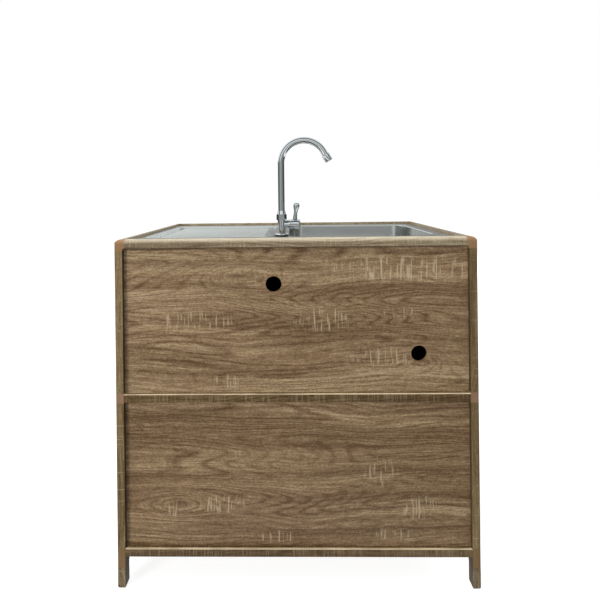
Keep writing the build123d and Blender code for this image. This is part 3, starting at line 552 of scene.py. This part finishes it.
def plastic(name, colour, cloud_amount=0.6, knot_core_and_shaded_side=0.0, sheen=0.4):
    """Fine-textured moulded plastic of one colour, with painted shade on inner sides where asked.
    """
    made, tree, shader = new_material(name)
    here = object_place(tree)
    out = use(tree, moulded, Place=here, Colour=colour, Cloud=cloud_amount)
    shown = out["Color"]
    # Painted shade on the inner sides.
    if knot_core_and_shaded_side:
        shown = blend(tree, painted_inner_shade(tree, split(tree, here)[0], knot_core_and_shaded_side), shown, PAINTED_SHADE)
    tree.links.new(shown, shader.inputs["Base Color"])
    tree.links.new(out["Gloss"], shader.inputs["Roughness"])
    shader.inputs["Specular IOR Level"].default_value = sheen
    relief(tree, shader, out["Height"], 0.0001, 0.3)
    return made


plastic_top = plastic("plastic_top_corners", paint(138, 106, 73))
plastic_middle = plastic("plastic_middle_corners", paint(136, 107, 81))
# The bottom corner pieces have painted shade on their inner sides.
plastic_bottom = plastic("plastic_bottom_corners", paint(122, 99, 69), knot_core_and_shaded_side=INNER_SIDE, sheen=0.06)
plastic_bushing = plastic("plastic_bushings", paint(66, 60, 54))
plastic_catch = plastic("plastic_catch", paint(120, 106, 86))
plastic_waste = plastic("plastic_waste", paint(52, 53, 55))
rubber = plastic("rubber_washer", paint(34, 34, 35), 0.4)
print("plastic materials ready")

# %% [markdown]
# ## Metals
# The sink is stainless steel, brushed along the length of the unit: thousands of fine scratches
# that stretch each reflection. Noise pulled out along x gives them, in the roughness and in a
# slight bump; on the steep walls of the basin they run level all the way round. The tap is
# chrome: nearly a mirror, with only faint water marks. Inside the tap is plain turned brass.

# %% Metal materials
scratches, have, give = new_group(
    "fine_scratches",
    [
        ("Place", "Vector", None),
        ("Fine", "Float", None),
        ("Long", "Float", None),
        ("Wall Low", "Float", None),
        ("Wall High", "Float", None),
    ],
    [("Height", "Float"), ("Wear", "Float")],
)
place = split(scratches, have["Place"])
above_low = calc(scratches, "GREATER_THAN", place[2], have["Wall Low"])
below_high = calc(scratches, "LESS_THAN", place[2], have["Wall High"])
on_wall = calc(scratches, "MULTIPLY", above_low, below_high)
per_y = mix(scratches, on_wall, have["Fine"], have["Long"])
long_x = calc(scratches, "MULTIPLY", place[0], have["Long"])
fine_y = calc(scratches, "MULTIPLY", place[1], per_y)
fine_z = calc(scratches, "MULTIPLY", place[2], have["Fine"])
combed = joined(scratches, long_x, fine_y, fine_z)
scratches.links.new(noise(scratches, combed, 3.0, 0.6), give["Height"])
smeared = stretch(scratches, have["Place"], (9.0, 14.0, 14.0))
scratches.links.new(noise(scratches, smeared, 3.0), give["Wear"])


def metal(name, colour, dull, shine, fine=1400.0, long=12.0, depth=0.00002, walls=(0.0, 0.0)):
    """A metal with fine scratches along x, or level ones between the two heights of its walls."""
    made, tree, shader = new_material(name)
    low, high = walls
    lines = {"Fine": fine, "Long": long, "Wall_Low": low, "Wall_High": high}
    marks = use(tree, scratches, Place=object_place(tree), **lines)
    smears = calc(tree, "MULTIPLY", marks["Wear"], 0.5)
    gloss = calc(tree, "MULTIPLY_ADD", marks["Height"], 0.5, smears)
    tree.links.new(span(tree, gloss, 0.3, 0.7, shine, dull), shader.inputs["Roughness"])
    wear_and_highlight = blend(tree, 0.12, colour, (0.5, 0.5, 0.5, 1.0))
    tinted_metal = blend(tree, span(tree, marks["Wear"], 0.3, 0.7), colour, wear_and_highlight)
    tree.links.new(tinted_metal, shader.inputs["Base Color"])
    shader.inputs["Metallic"].default_value = 1.0
    relief(tree, shader, marks["Height"], depth, 0.10)
    return made


BASIN_WALLS = (0.695, 0.8575)
sink_steel = metal("steel_sink", paint(216, 217, 214), 0.22, 0.11, walls=BASIN_WALLS)
waste_steel = metal("steel_waste", paint(208, 210, 210), 0.26, 0.14)
chrome = metal("chrome_tap", paint(226, 229, 231), 0.10, 0.04, fine=60.0, long=60.0, depth=0.000005)
brass = metal("brass_valve", paint(196, 164, 104), 0.34, 0.22)
print("metal materials ready")

# %% [markdown]
# ## Helpers for finer pieces
# Some solids are replaced by finer pieces of the same size: rounder, with rolled edges and
# small details. Every piece is built in place, in metres, is shaded smooth except at its hard
# edges, and says which body it moves with and which solid, if any, it stands for.

# %% Piece helpers
TAP_X, TAP_Y = 0.035, 0.140
DECK = 0.864


def to_data(name, bm, material):
    """Mesh data of one material, made from a bmesh."""
    data = bpy.data.meshes.new(name)
    bm.to_mesh(data)
    bm.free()
    data.materials.append(material)
    return data


def keep(name, bm, material, body, replaced=(), sharp=35.0):
    """Turn a bmesh into a finished piece of the unit."""
    bm.edges.index_update()
    open_edges = [edge.index for edge in bm.edges if edge.is_boundary]
    data = to_data(name, bm, material)
    data.shade_smooth()
    data.set_sharp_from_angle(angle=radians(sharp))
    for index in open_edges:
        data.edges[index].use_edge_sharp = True
    piece = add_object(name, data)
    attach(piece, body)
    if replaced:
        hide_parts(*replaced)
    return piece


def only(kind, parts):
    """The points, edges or faces among the parts that an operator gives back."""
    return [part for part in parts if isinstance(part, kind)]


def edges_at(points):
    """Every edge that ends at one of these points, each once, in the order of the points."""
    return list(dict.fromkeys(edge for vert in points for edge in vert.link_edges))


def circle(bm, radius, segments, place):
    """The edges of a level circle."""
    matrix = Matrix.Translation(place)
    made = bmesh.ops.create_circle(bm, segments=segments, radius=radius, matrix=matrix)["verts"]
    return edges_at(made)


def turned(profile, place, steps=56):
    """Spin half an outline, given as radius and height, round z like a lathe, then place it."""
    bm = bmesh.new()
    points = [bm.verts.new((radius, 0.0, height)) for radius, height in profile]
    edges = [bm.edges.new(pair) for pair in zip(points, points[1:])]
    axis = {"cent": (0.0, 0.0, 0.0), "axis": (0.0, 0.0, 1.0), "angle": 2 * pi}
    bmesh.ops.spin(bm, geom=points + edges, steps=steps, use_merge=True, **axis)
    bmesh.ops.remove_doubles(bm, verts=bm.verts, dist=1e-6)
    bmesh.ops.recalc_face_normals(bm, faces=bm.faces)
    bmesh.ops.transform(bm, matrix=place, verts=bm.verts)
    return bm


def softened(node, material, body, width):
    """A copy of a solid with its hard edges rounded by a Bevel modifier."""
    bm = bmesh.new()
    bm.from_mesh(nodes[node].data)
    bmesh.ops.remove_doubles(bm, verts=bm.verts, dist=1e-6)
    flat = {"angle_limit": radians(0.5), "use_dissolve_boundaries": False}
    bmesh.ops.dissolve_limit(bm, verts=bm.verts, edges=bm.edges, **flat)
    piece = keep(f"{node}_soft", bm, material, body, [node], 40.0)
    rounding = piece.modifiers.new("rounding", "BEVEL")
    rounding.width = width
    rounding.segments = 2
    rounding.limit_method = "ANGLE"
    rounding.angle_limit = radians(50)
    rounding.use_clamp_overlap = True
    rounding.harden_normals = True
    return piece


print("piece helpers ready")

# %% [markdown]
# ## Spout
# The swan neck is one chromed tube, bent on a former. A ring of points is pulled straight up,
# spun round the centre of the bend, and pulled straight again; a Solidify modifier gives the
# skin its wall. That keeps the bend perfectly round, which a mirror finish needs.

# %% Spout tube
SPOUT_RADIUS = 0.009
ARC_RADIUS = 0.064
ARC_Z = 1.0658
ARC_SWEEP = radians(150)
SPOUT_FOOT = 0.9193
SPOUT_STRAIGHT = 0.0170
bm = bmesh.new()
foot_edges = circle(bm, SPOUT_RADIUS, 72, (TAP_X, TAP_Y, SPOUT_FOOT))
pulled = bmesh.ops.extrude_edge_only(bm, edges=foot_edges)["geom"]
top_ring = only(BMVert, pulled)
top_edges = [edge for edge in only(BMEdge, pulled) if all(v in top_ring for v in edge.verts)]
bmesh.ops.translate(bm, vec=(0.0, 0.0, ARC_Z - SPOUT_FOOT), verts=top_ring)
bent = bmesh.ops.spin(
    bm,
    geom=top_ring + top_edges,
    cent=(TAP_X - ARC_RADIUS, TAP_Y, ARC_Z),
    axis=(0.0, -1.0, 0.0),
    angle=ARC_SWEEP,
    steps=120,
)["geom_last"]
spout_aim = Vector((-sin(pi - ARC_SWEEP), 0.0, -cos(pi - ARC_SWEEP)))
pulled = bmesh.ops.extrude_edge_only(bm, edges=only(BMEdge, bent))["geom"]
end_ring = only(BMVert, pulled)
bmesh.ops.translate(bm, vec=spout_aim * SPOUT_STRAIGHT, verts=end_ring)
spout_end = sum((vert.co for vert in end_ring), Vector()) / len(end_ring)
bmesh.ops.recalc_face_normals(bm, faces=bm.faces)
spout_tube = keep("spout_tube", bm, chrome, "spout", ["tap_spout"], 60.0)
wall = spout_tube.modifiers.new("wall", "SOLIDIFY")
wall.thickness = 0.0024
wall.offset = -1.0
print("spout ends at", [round(value, 4) for value in spout_end])

# %% [markdown]
# ## Aerator
# The sleeve on the spout's end is turned: a shoulder, a waist where the two halves screw
# together, and a rolled mouth with a fine strainer set back in it. A lathe profile makes the
# sleeve, and the strainer is a round grid of crossing bars.

# %% Aerator
AERATOR_OVERLAP = 0.0075
aerator_place = Matrix.Translation(spout_end - spout_aim * AERATOR_OVERLAP) @ (
    spout_aim.to_track_quat("Z", "Y").to_matrix().to_4x4()
)
aerator_profile = [
    (0.0091, 0.0000), (0.0102, 0.0000), (0.0110, 0.0005), (0.0113, 0.0013), (0.0113, 0.0076),
    (0.0109, 0.0080), (0.0105, 0.0083), (0.0105, 0.0093), (0.0109, 0.0096), (0.0113, 0.0100),
    (0.0113, 0.0198), (0.0110, 0.0207), (0.0102, 0.0213), (0.0094, 0.0215), (0.0086, 0.0213),
    (0.0083, 0.0206), (0.0083, 0.0170), (0.0066, 0.0170), (0.0066, 0.0082), (0.0091, 0.0082),
    (0.0091, 0.0000),
]
bm = turned(aerator_profile, aerator_place)
keep("aerator_sleeve", bm, chrome, "spout", ["tap_aerator"], 40.0)

strainer_steel = metal("steel_strainer", paint(150, 152, 154), 0.4, 0.25)
STRAINER_RADIUS, BAR_STEP, BAR_Z = 0.0084, 0.0024, 0.0176
BAR_WIDTH, BAR_DEPTH = 0.0009, 0.0010
bm = bmesh.new()
for turn_by in (0.0, pi / 2):
    for step in range(-3, 4):
        x = BAR_STEP * step
        half = sqrt(STRAINER_RADIUS**2 - x**2)
        bar_place = Matrix.Rotation(turn_by, 4, "Z") @ Matrix.Translation((x, 0.0, BAR_Z))
        bar_size = Matrix.Diagonal((BAR_WIDTH, 2 * half, BAR_DEPTH, 1.0))
        bmesh.ops.create_cube(bm, size=1.0, matrix=aerator_place @ bar_place @ bar_size)
keep("aerator_strainer", bm, strainer_steel, "spout")
print("aerator starts at", [round(value, 4) for value in aerator_place.translation])

# %% [markdown]
# ## Handle
# A chromed cap turns on the side branch, with a lever that swells to a rounded end. The cap is
# turned with a domed face and a shadow groove. The lever starts as a small plate of eight
# sides that is pulled up again and again, each time to a new width, and subdivision rounds it.

# %% Handle cap
BRANCH_Z = 0.895
branch_place = Matrix.Translation((TAP_X, TAP_Y, BRANCH_Z)) @ Matrix.Rotation(-pi / 2, 4, "Y")
cap_profile = [
    (0.0097, 0.0262), (0.0134, 0.0260), (0.0139, 0.0264), (0.0140, 0.0270), (0.0140, 0.0292),
    (0.0134, 0.0297), (0.0134, 0.0305), (0.0140, 0.0310), (0.0140, 0.0455), (0.0137, 0.0480),
    (0.0128, 0.0502), (0.0113, 0.0517), (0.0090, 0.0526), (0.0060, 0.0529), (0.0, 0.0530),
]
cap_hollow = [(0.0, 0.0400), (0.0097, 0.0400)]
bm = turned(cap_hollow + cap_profile, branch_place)
keep("handle_cap", bm, chrome, "handle", ["tap_handle"], 40.0)

# %% Handle lever
# Each ring: its height, its distance from the tap's axis, half its width, half its thickness.
lever_rings = [
    (0.9020, 0.0372, 0.0078, 0.0056), (0.9090, 0.0374, 0.0070, 0.0052),
    (0.9190, 0.0384, 0.0058, 0.0048), (0.9290, 0.0398, 0.0056, 0.0047),
    (0.9360, 0.0410, 0.0070, 0.0052), (0.9430, 0.0420, 0.0098, 0.0057),
    (0.9500, 0.0422, 0.0096, 0.0054), (0.9550, 0.0422, 0.0056, 0.0034),
]
bm = bmesh.new()
height, reach, half_width, half_thick = lever_rings[0]
seat = Matrix.Translation((TAP_X - reach, TAP_Y, height))
bmesh.ops.create_circle(bm, cap_ends=True, segments=8, radius=1.0)
bmesh.ops.scale(bm, vec=(half_width, half_thick, 1.0), verts=bm.verts)
bmesh.ops.transform(bm, matrix=seat, verts=bm.verts)
top = bm.faces[:]
for (low_z, low_r, low_w, low_t), (z, r, w, t) in zip(lever_rings, lever_rings[1:]):
    grown = bmesh.ops.extrude_face_region(bm, geom=top)["geom"]
    ring = only(BMVert, grown)
    if low_z > height:
        bmesh.ops.delete(bm, geom=top, context="FACES_ONLY")
    top = only(BMFace, grown)
    middle = Matrix.Translation((-(TAP_X - low_r), -TAP_Y, -low_z))
    bmesh.ops.scale(bm, vec=(w / low_w, t / low_t, 1.0), space=middle, verts=ring)
    bmesh.ops.translate(bm, vec=(low_r - r, 0.0, z - low_z), verts=ring)
bmesh.ops.recalc_face_normals(bm, faces=bm.faces)
handle_lever = keep("handle_lever", bm, chrome, "handle", (), 80.0)
smooth = handle_lever.modifiers.new("smooth", "SUBSURF")
smooth.levels = smooth.render_levels = 3

# %% [markdown]
# ## Tap body
# The body with its flange and the collar nut keep their shapes from the frame. Only their
# edges are rounded, because a perfectly sharp chrome edge never catches the light.

# %% Tap body and nut
tap_pieces = [
    softened("tap_body", chrome, "cabinet", 0.0005),
    softened("tap_collar_nut", chrome, "cabinet", 0.0006),
]
print("softened", [piece.name for piece in tap_pieces])

# %% [markdown]
# ## Feet
# Each foot is a short end of tube with a rounded lower end. A box with its four lower edges
# bevelled in several steps gives that, and a Bevel modifier takes off the upright corners.

# %% Feet
FOOT_X, FOOT_Y = 0.440, 0.2625
FOOT_SIZE = (0.020, 0.025, 0.053)
FOOT_ROUND = 0.0060
bm = bmesh.new()
for side_x in (-1, 1):
    for side_y in (-1, 1):
        middle = (side_x * FOOT_X, side_y * FOOT_Y, FOOT_SIZE[2] / 2)
        foot_place = Matrix.Translation(middle) @ Matrix.Diagonal((*FOOT_SIZE, 1.0))
        bmesh.ops.create_cube(bm, size=1.0, matrix=foot_place)
low_edges = [edge for edge in bm.edges if all(vert.co.z < 0.001 for vert in edge.verts)]
bmesh.ops.bevel(
    bm, geom=low_edges, offset=FOOT_ROUND, segments=5, affect="EDGES", profile=0.5, material=-1
)
rounded_feet = keep("rounded_feet", bm, foot_foil, "cabinet", ["feet"], 40.0)
corners = rounded_feet.modifiers.new("corners", "BEVEL")
corners.width = 0.0014
corners.segments = 2
corners.limit_method = "ANGLE"
corners.angle_limit = radians(50)
corners.harden_normals = True
print("feet:", len(rounded_feet.data.polygons), "faces")

# %% [markdown]
# ## Sink
# The sink is pressed from one sheet. Its outlines are rounded rectangles of equal corners, so a
# sequence of them, each lower or narrower than the last, is bridged into the folded rim, the
# basin and the draining board, as the press would form them. The flat parts between outlines
# are filled, and Solidify gives the sheet its thickness.

# %% Sink helpers
CORNER_STEPS = 10


def outline(bm, centre, size, corner, z, steps):
    """The edges of a rounded rectangle at one height."""
    place = Matrix.Translation((*centre, z)) @ Matrix.Diagonal((*size, 1, 1))
    square = bmesh.ops.create_grid(bm, x_segments=1, y_segments=1, size=0.5, matrix=place)["verts"]
    made = bmesh.ops.bevel(
        bm, geom=square, offset=corner, segments=steps, affect="VERTICES", profile=0.5, material=-1
    )
    face = made["verts"][0].link_faces[0]
    edges = list(face.edges)
    bmesh.ops.delete(bm, geom=[face], context="FACES_ONLY")
    return edges


def pressed(bm, centre, size, corner, steps_down, steps=CORNER_STEPS):
    """Bridge outlines that shrink and sink step by step; gives the first and the last."""
    rings = [
        outline(bm, centre, (size[0] - 2 * inset, size[1] - 2 * inset), corner - inset, z, steps)
        for inset, z in steps_down
    ]
    for upper, lower in zip(rings, rings[1:]):
        bmesh.ops.bridge_loops(bm, edges=upper + lower)
    return rings[0], rings[-1]


def arc_steps(inset, z, radius, turn_from, turn_to, count):
    """Insets and heights along part of a circle, for a rolled edge or a rounded foot."""
    angles = [turn_from + (turn_to - turn_from) * n / count for n in range(count + 1)]
    return [(inset + radius * cos(a), z + radius * sin(a)) for a in angles]


# %% Sink sheet
# Each shape: its centre, its size and the radius of its corners, seen from above.
RIM = ((0.0, 0.0), (0.858, 0.498), 0.012)
BASIN = ((-0.186, 0.0), (0.400, 0.360), 0.050)
BOARD = ((0.236, 0.0), (0.352, 0.365), 0.022)
RIM_LOW, RIM_ROUND = 0.8545, 0.0025
BASIN_FLOOR, BASIN_FOOT, BASIN_LIP, BASIN_LEAN = 0.684, 0.024, 0.0035, 0.0105
BOARD_ROUND, BOARD_LEAN = 0.0020, 0.0025
bm = bmesh.new()
rim_steps = arc_steps(RIM_ROUND, DECK - RIM_ROUND, RIM_ROUND, pi, pi / 2, 4)
rim_in = pressed(bm, *RIM, [(0.0, RIM_LOW)] + rim_steps)[1]
basin_lip = arc_steps(-BASIN_LIP, DECK - BASIN_LIP, BASIN_LIP, pi / 2, 0.0, 5)
basin_foot_inset = BASIN_LEAN + BASIN_FOOT
basin_foot = arc_steps(basin_foot_inset, BASIN_FLOOR + BASIN_FOOT, BASIN_FOOT, pi, 1.5 * pi, 8)
basin_in, basin_out = pressed(bm, *BASIN, basin_lip + basin_foot)
board_lip = arc_steps(-BOARD_ROUND, DECK - BOARD_ROUND, BOARD_ROUND, pi / 2, 0.0, 4)
board_foot_inset = BOARD_LEAN + BOARD_ROUND
board_foot = arc_steps(board_foot_inset, DECK - 2 * BOARD_ROUND, BOARD_ROUND, pi, 1.5 * pi, 4)
board_in, board_out = pressed(bm, *BOARD, board_lip + board_foot)
print("sink outlines:", len(bm.verts), "points")

# %% Sink ribs, holes and flats
RIB_SIZE, RIB_CORNER, RIB_STEP = (0.300, 0.011), 0.0054, 0.035
WASTE_HOLE, TAP_HOLE = 0.0430, 0.0110
RIB_SLOPE = [(0.0, 0.0060), (0.0008, 0.0056), (0.0019, 0.0042), (0.0030, 0.0032), (0.0042, 0.0028)]
rib_steps = [(inset, DECK - depth) for inset, depth in RIB_SLOPE]
rib_edges = []
for row in range(-4, 5):
    rib_centre = (BOARD[0][0], RIB_STEP * row)
    first, last = pressed(bm, rib_centre, RIB_SIZE, RIB_CORNER, rib_steps, 4)
    bmesh.ops.edgeloop_fill(bm, edges=last)
    rib_edges += first
waste_edges = circle(bm, WASTE_HOLE, 64, (*BASIN[0], BASIN_FLOOR))
tap_edges = circle(bm, TAP_HOLE, 32, (TAP_X, TAP_Y, DECK))
up = {"use_beauty": True, "normal": (0.0, 0.0, 1.0)}
bmesh.ops.triangle_fill(bm, edges=rim_in + basin_in + board_in + tap_edges, **up)
bmesh.ops.triangle_fill(bm, edges=basin_out + waste_edges, **up)
bmesh.ops.triangle_fill(bm, edges=board_out + rib_edges, **up)
bmesh.ops.remove_doubles(bm, verts=bm.verts, dist=1e-6)
bmesh.ops.recalc_face_normals(bm, faces=bm.faces)
deck_face = max(bm.faces, key=lambda part: part.calc_center_median().z)
if deck_face.normal.z < 0:
    bmesh.ops.reverse_faces(bm, faces=bm.faces)
sink_sheet = keep("sink_sheet", bm, sink_steel, "cabinet", ["sink"], 35.0)
sheet = sink_sheet.modifiers.new("sheet", "SOLIDIFY")
sheet.thickness = 0.0012
sheet.offset = -1.0
print("sink sheet:", len(sink_sheet.data.polygons), "faces")

# %% [markdown]
# ## Dressing the solids
# Every solid takes its finish here. Each line below pairs the beginning of a name with a
# finish, and the first line that fits a solid's name counts.

# %% Give the solids their materials
FINISHES = [
    ("panel_rear_upper", rear_upper),
    ("panel_rear_lower", rear_lower),
    ("panel_floor", floor_oak),
    ("panel_right", side_board),
    ("panel_left", side_board),
    ("door_right_board", door_oak),
    ("door_left_board", door_oak),
    ("door_bushings", plastic_bushing),
    ("door_catch", plastic_catch),
    ("door_", door_foil),
    ("post_", post_foil),
    ("rail_top_rear", top_foil_rear),
    ("rail_top_front", top_foil_x),
    ("rail_top_", top_foil_y),
    ("rail_bottom_rear", rail_foil_x),
    ("rail_bottom_front", rail_foil_x),
    ("rail_middle_rear", rail_foil_x),
    ("rail_", rail_foil_y),
    ("connector_top", plastic_top),
    ("connector_middle", plastic_middle),
    ("connector_bottom", plastic_bottom),
    ("feet", foot_foil),
    ("sink", sink_steel),
    ("waste_nut", plastic_waste),
    ("waste_", waste_steel),
    ("tap_washer", rubber),
    ("tap_lock_nut", brass),
    ("tap_bonnet", brass),
    ("tap_spindle", brass),
    ("tap_", chrome),
]


def finish_of(name):
    """The first finish whose name begins the solid's name."""
    return next(material for start, material in FINISHES if name.startswith(start))


for name, solid in nodes.items():
    solid.data.materials.clear()
    solid.data.materials.append(finish_of(name))
print("dressed", len(nodes), "solids")

# %% [markdown]
# ## Studio
# The unit stands on a wide pale floor under soft light. The camera and shiny surfaces see the
# world and the floor as white, and everything else is lit by a softer level, so the colours
# come out about as they are written.


# %% Floor
def white_for(tree):
    """One for the rays that should see a white room, and zero for those that light the unit."""
    rays = put(tree, "ShaderNodeLightPath").outputs
    shiny = calc(tree, "ADD", rays["Is Glossy Ray"], rays["Is Transmission Ray"])
    return calc(tree, "ADD", rays["Is Camera Ray"], shiny, clamp=True)


WHITE = (1.0, 1.0, 1.0, 1.0)
BLACK = (0.0, 0.0, 0.0, 1.0)
FLOOR_GREY = (0.40, 0.40, 0.40, 1.0)
FLOOR_GLOW = 0.84
FLOOR_REACH = 30.0
JUST_BELOW = -0.0005
floor_paint, tree, shader = new_material("studio_floor")
shader.inputs["Base Color"].default_value = FLOOR_GREY
shader.inputs["Roughness"].default_value = 0.9
shader.inputs["Specular IOR Level"].default_value = 0.0
floor_glow = calc(tree, "MULTIPLY", white_for(tree), FLOOR_GLOW)
tree.links.new(floor_glow, shader.inputs["Emission Strength"])
shader.inputs["Emission Color"].default_value = WHITE

bm = bmesh.new()
floor_place = Matrix.Translation((0.0, 0.0, JUST_BELOW))
bmesh.ops.create_grid(bm, x_segments=1, y_segments=1, size=FLOOR_REACH, matrix=floor_place)
studio_floor = add_object("studio_floor", to_data("studio_floor", bm, floor_paint))
print("floor", studio_floor.dimensions[:2])

# %% World
bpy.context.scene.view_settings.view_transform = "Standard"
world = bpy.data.worlds.new("studio_world")
world.use_nodes = True
bpy.context.scene.world = world
tree = world.node_tree
tree.nodes.clear()
SOFT_LEVEL = 0.50
soft_light = put(tree, "ShaderNodeBackground", {"Color": WHITE, "Strength": SOFT_LEVEL})
white = put(tree, "ShaderNodeBackground", {"Color": WHITE, "Strength": 1.0})
levels = {0: white_for(tree), 1: soft_light.outputs[0], 2: white.outputs[0]}
both = put(tree, "ShaderNodeMixShader", levels)
put(tree, "ShaderNodeOutputWorld", {0: both.outputs[0]})
print("world level", SOFT_LEVEL)


# %% Lamps
def soft_lamp(name, place, aim, size, power):
    """A square soft box that points at a place on the unit."""
    data = bpy.data.lights.new(name, "AREA")
    data.shape = "RECTANGLE"
    data.size, data.size_y = size
    data.energy = power
    lamp = add_object(name, data)
    lamp.location = place
    lamp.rotation_euler = (Vector(aim) - Vector(place)).to_track_quat("-Z", "Y").to_euler()
    lamp.visible_glossy = False
    return lamp


lamps = [
    soft_lamp("top_lamp", (0.6, 0.4, 3.4), (0.0, 0.0, 0.6), (2.2, 1.8), 90.0),
    soft_lamp("side_lamp", (4.2, 4.4, 2.0), (0.0, 0.0, 0.5), (2.0, 2.0), 225.0),
    soft_lamp("door_lamp", (-3.2, -4.4, 2.2), (0.0, 0.0, 0.5), (2.4, 2.4), 130.0),
]
print("placed", [lamp.name for lamp in lamps])

# %% [markdown]
# ## Grey tent
# Chrome shows nothing but its surroundings, so in an all-white room it would vanish. As a
# product photographer does, a grey tent is hung round the set, and only shiny surfaces see it.
# Its level is worked out from the direction seen from the tap. Side on, the tent is dark, which
# gives every tube dark edges; a paler stripe near the camera draws the line along the spout.
# Overhead it goes from pale to dark and back to pale, which draws the lines along the bend, and
# the far side is pale for the steel that is seen at a low angle. A dark mat lies round the unit
# in the same way: it draws the bend's lower edge, and past it the white floor shows again.

# %% Hang the tent
TENT_RADIUS = 4.5
TENT_TINT = (0.95, 1.0, 1.0, 1.0)
MAT_RADII = (0.6, 2.6)
MAT_Z = -0.0002
MAT_LEVEL, MAT_BELOW = 0.12, -0.25
TAP_MIDDLE = (TAP_X, TAP_Y, 0.95)
tent_paint, tree, shader = new_material("studio_tent")
seen_from_tap = vector(tree, "SUBTRACT", object_place(tree), TAP_MIDDLE)
aim = split(tree, vector(tree, "NORMALIZE", seen_from_tap))
turned_off = calc(tree, "DIVIDE", calc(tree, "ARCCOSINE", aim[1]), pi)


def stops(tree, value, levels):
    """Grey levels along a value from 0 to 1, eased from each stop to the next."""
    made = put(tree, "ShaderNodeValToRGB", {0: value})
    made.color_ramp.interpolation = "EASE"
    elements = made.color_ramp.elements
    for element, (position, grey) in zip(elements, (levels[0], levels[-1])):
        element.position, element.color = position, (grey, grey, grey, 1.0)
    for position, grey in levels[1:-1]:
        elements.new(position).color = (grey, grey, grey, 1.0)
    return made.outputs[0]


round_about = stops(tree, turned_off, [
    (0.00, 0.34), (0.10, 0.28), (0.15, 0.50), (0.19, 0.50), (0.24, 0.15), (0.42, 0.20),
    (0.54, 0.06), (0.72, 0.05), (0.80, 0.12), (0.90, 0.24),
])
overhead = stops(tree, turned_off, [
    (0.04, 0.22), (0.12, 0.88), (0.24, 0.88), (0.31, 0.10), (0.44, 0.10), (0.52, 0.95),
    (0.64, 0.90), (0.72, 0.45), (0.80, 0.92),
])
level = mix(tree, span(tree, aim[2], 0.08, 0.26, smooth=True), round_about, overhead)
level = mix(tree, calc(tree, "LESS_THAN", aim[2], MAT_BELOW), level, MAT_LEVEL)
sideways = span(tree, aim[0], -0.9, 0.9, 0.75, 1.25)
shader.inputs["Base Color"].default_value = BLACK
shader.inputs["Specular IOR Level"].default_value = 0.0
shader.inputs["Emission Color"].default_value = TENT_TINT
tree.links.new(calc(tree, "MULTIPLY", level, sideways), shader.inputs["Emission Strength"])

bm = bmesh.new()
bmesh.ops.create_uvsphere(bm, u_segments=96, v_segments=48, radius=TENT_RADIUS)
under_floor = [vert for vert in bm.verts if vert.co.z < -0.1]
bmesh.ops.delete(bm, geom=under_floor, context="VERTS")
mat_rims = [edge for radius in MAT_RADII for edge in circle(bm, radius, 96, (0.0, 0.0, MAT_Z))]
bmesh.ops.bridge_loops(bm, edges=mat_rims)
tent_data = to_data("studio_tent", bm, tent_paint)
tent_data.shade_smooth()
tent = add_object("studio_tent", tent_data)
tent.visible_camera = False
tent.visible_diffuse = False
tent.visible_shadow = False
tent.visible_transmission = False
print("tent hung", tent.name)
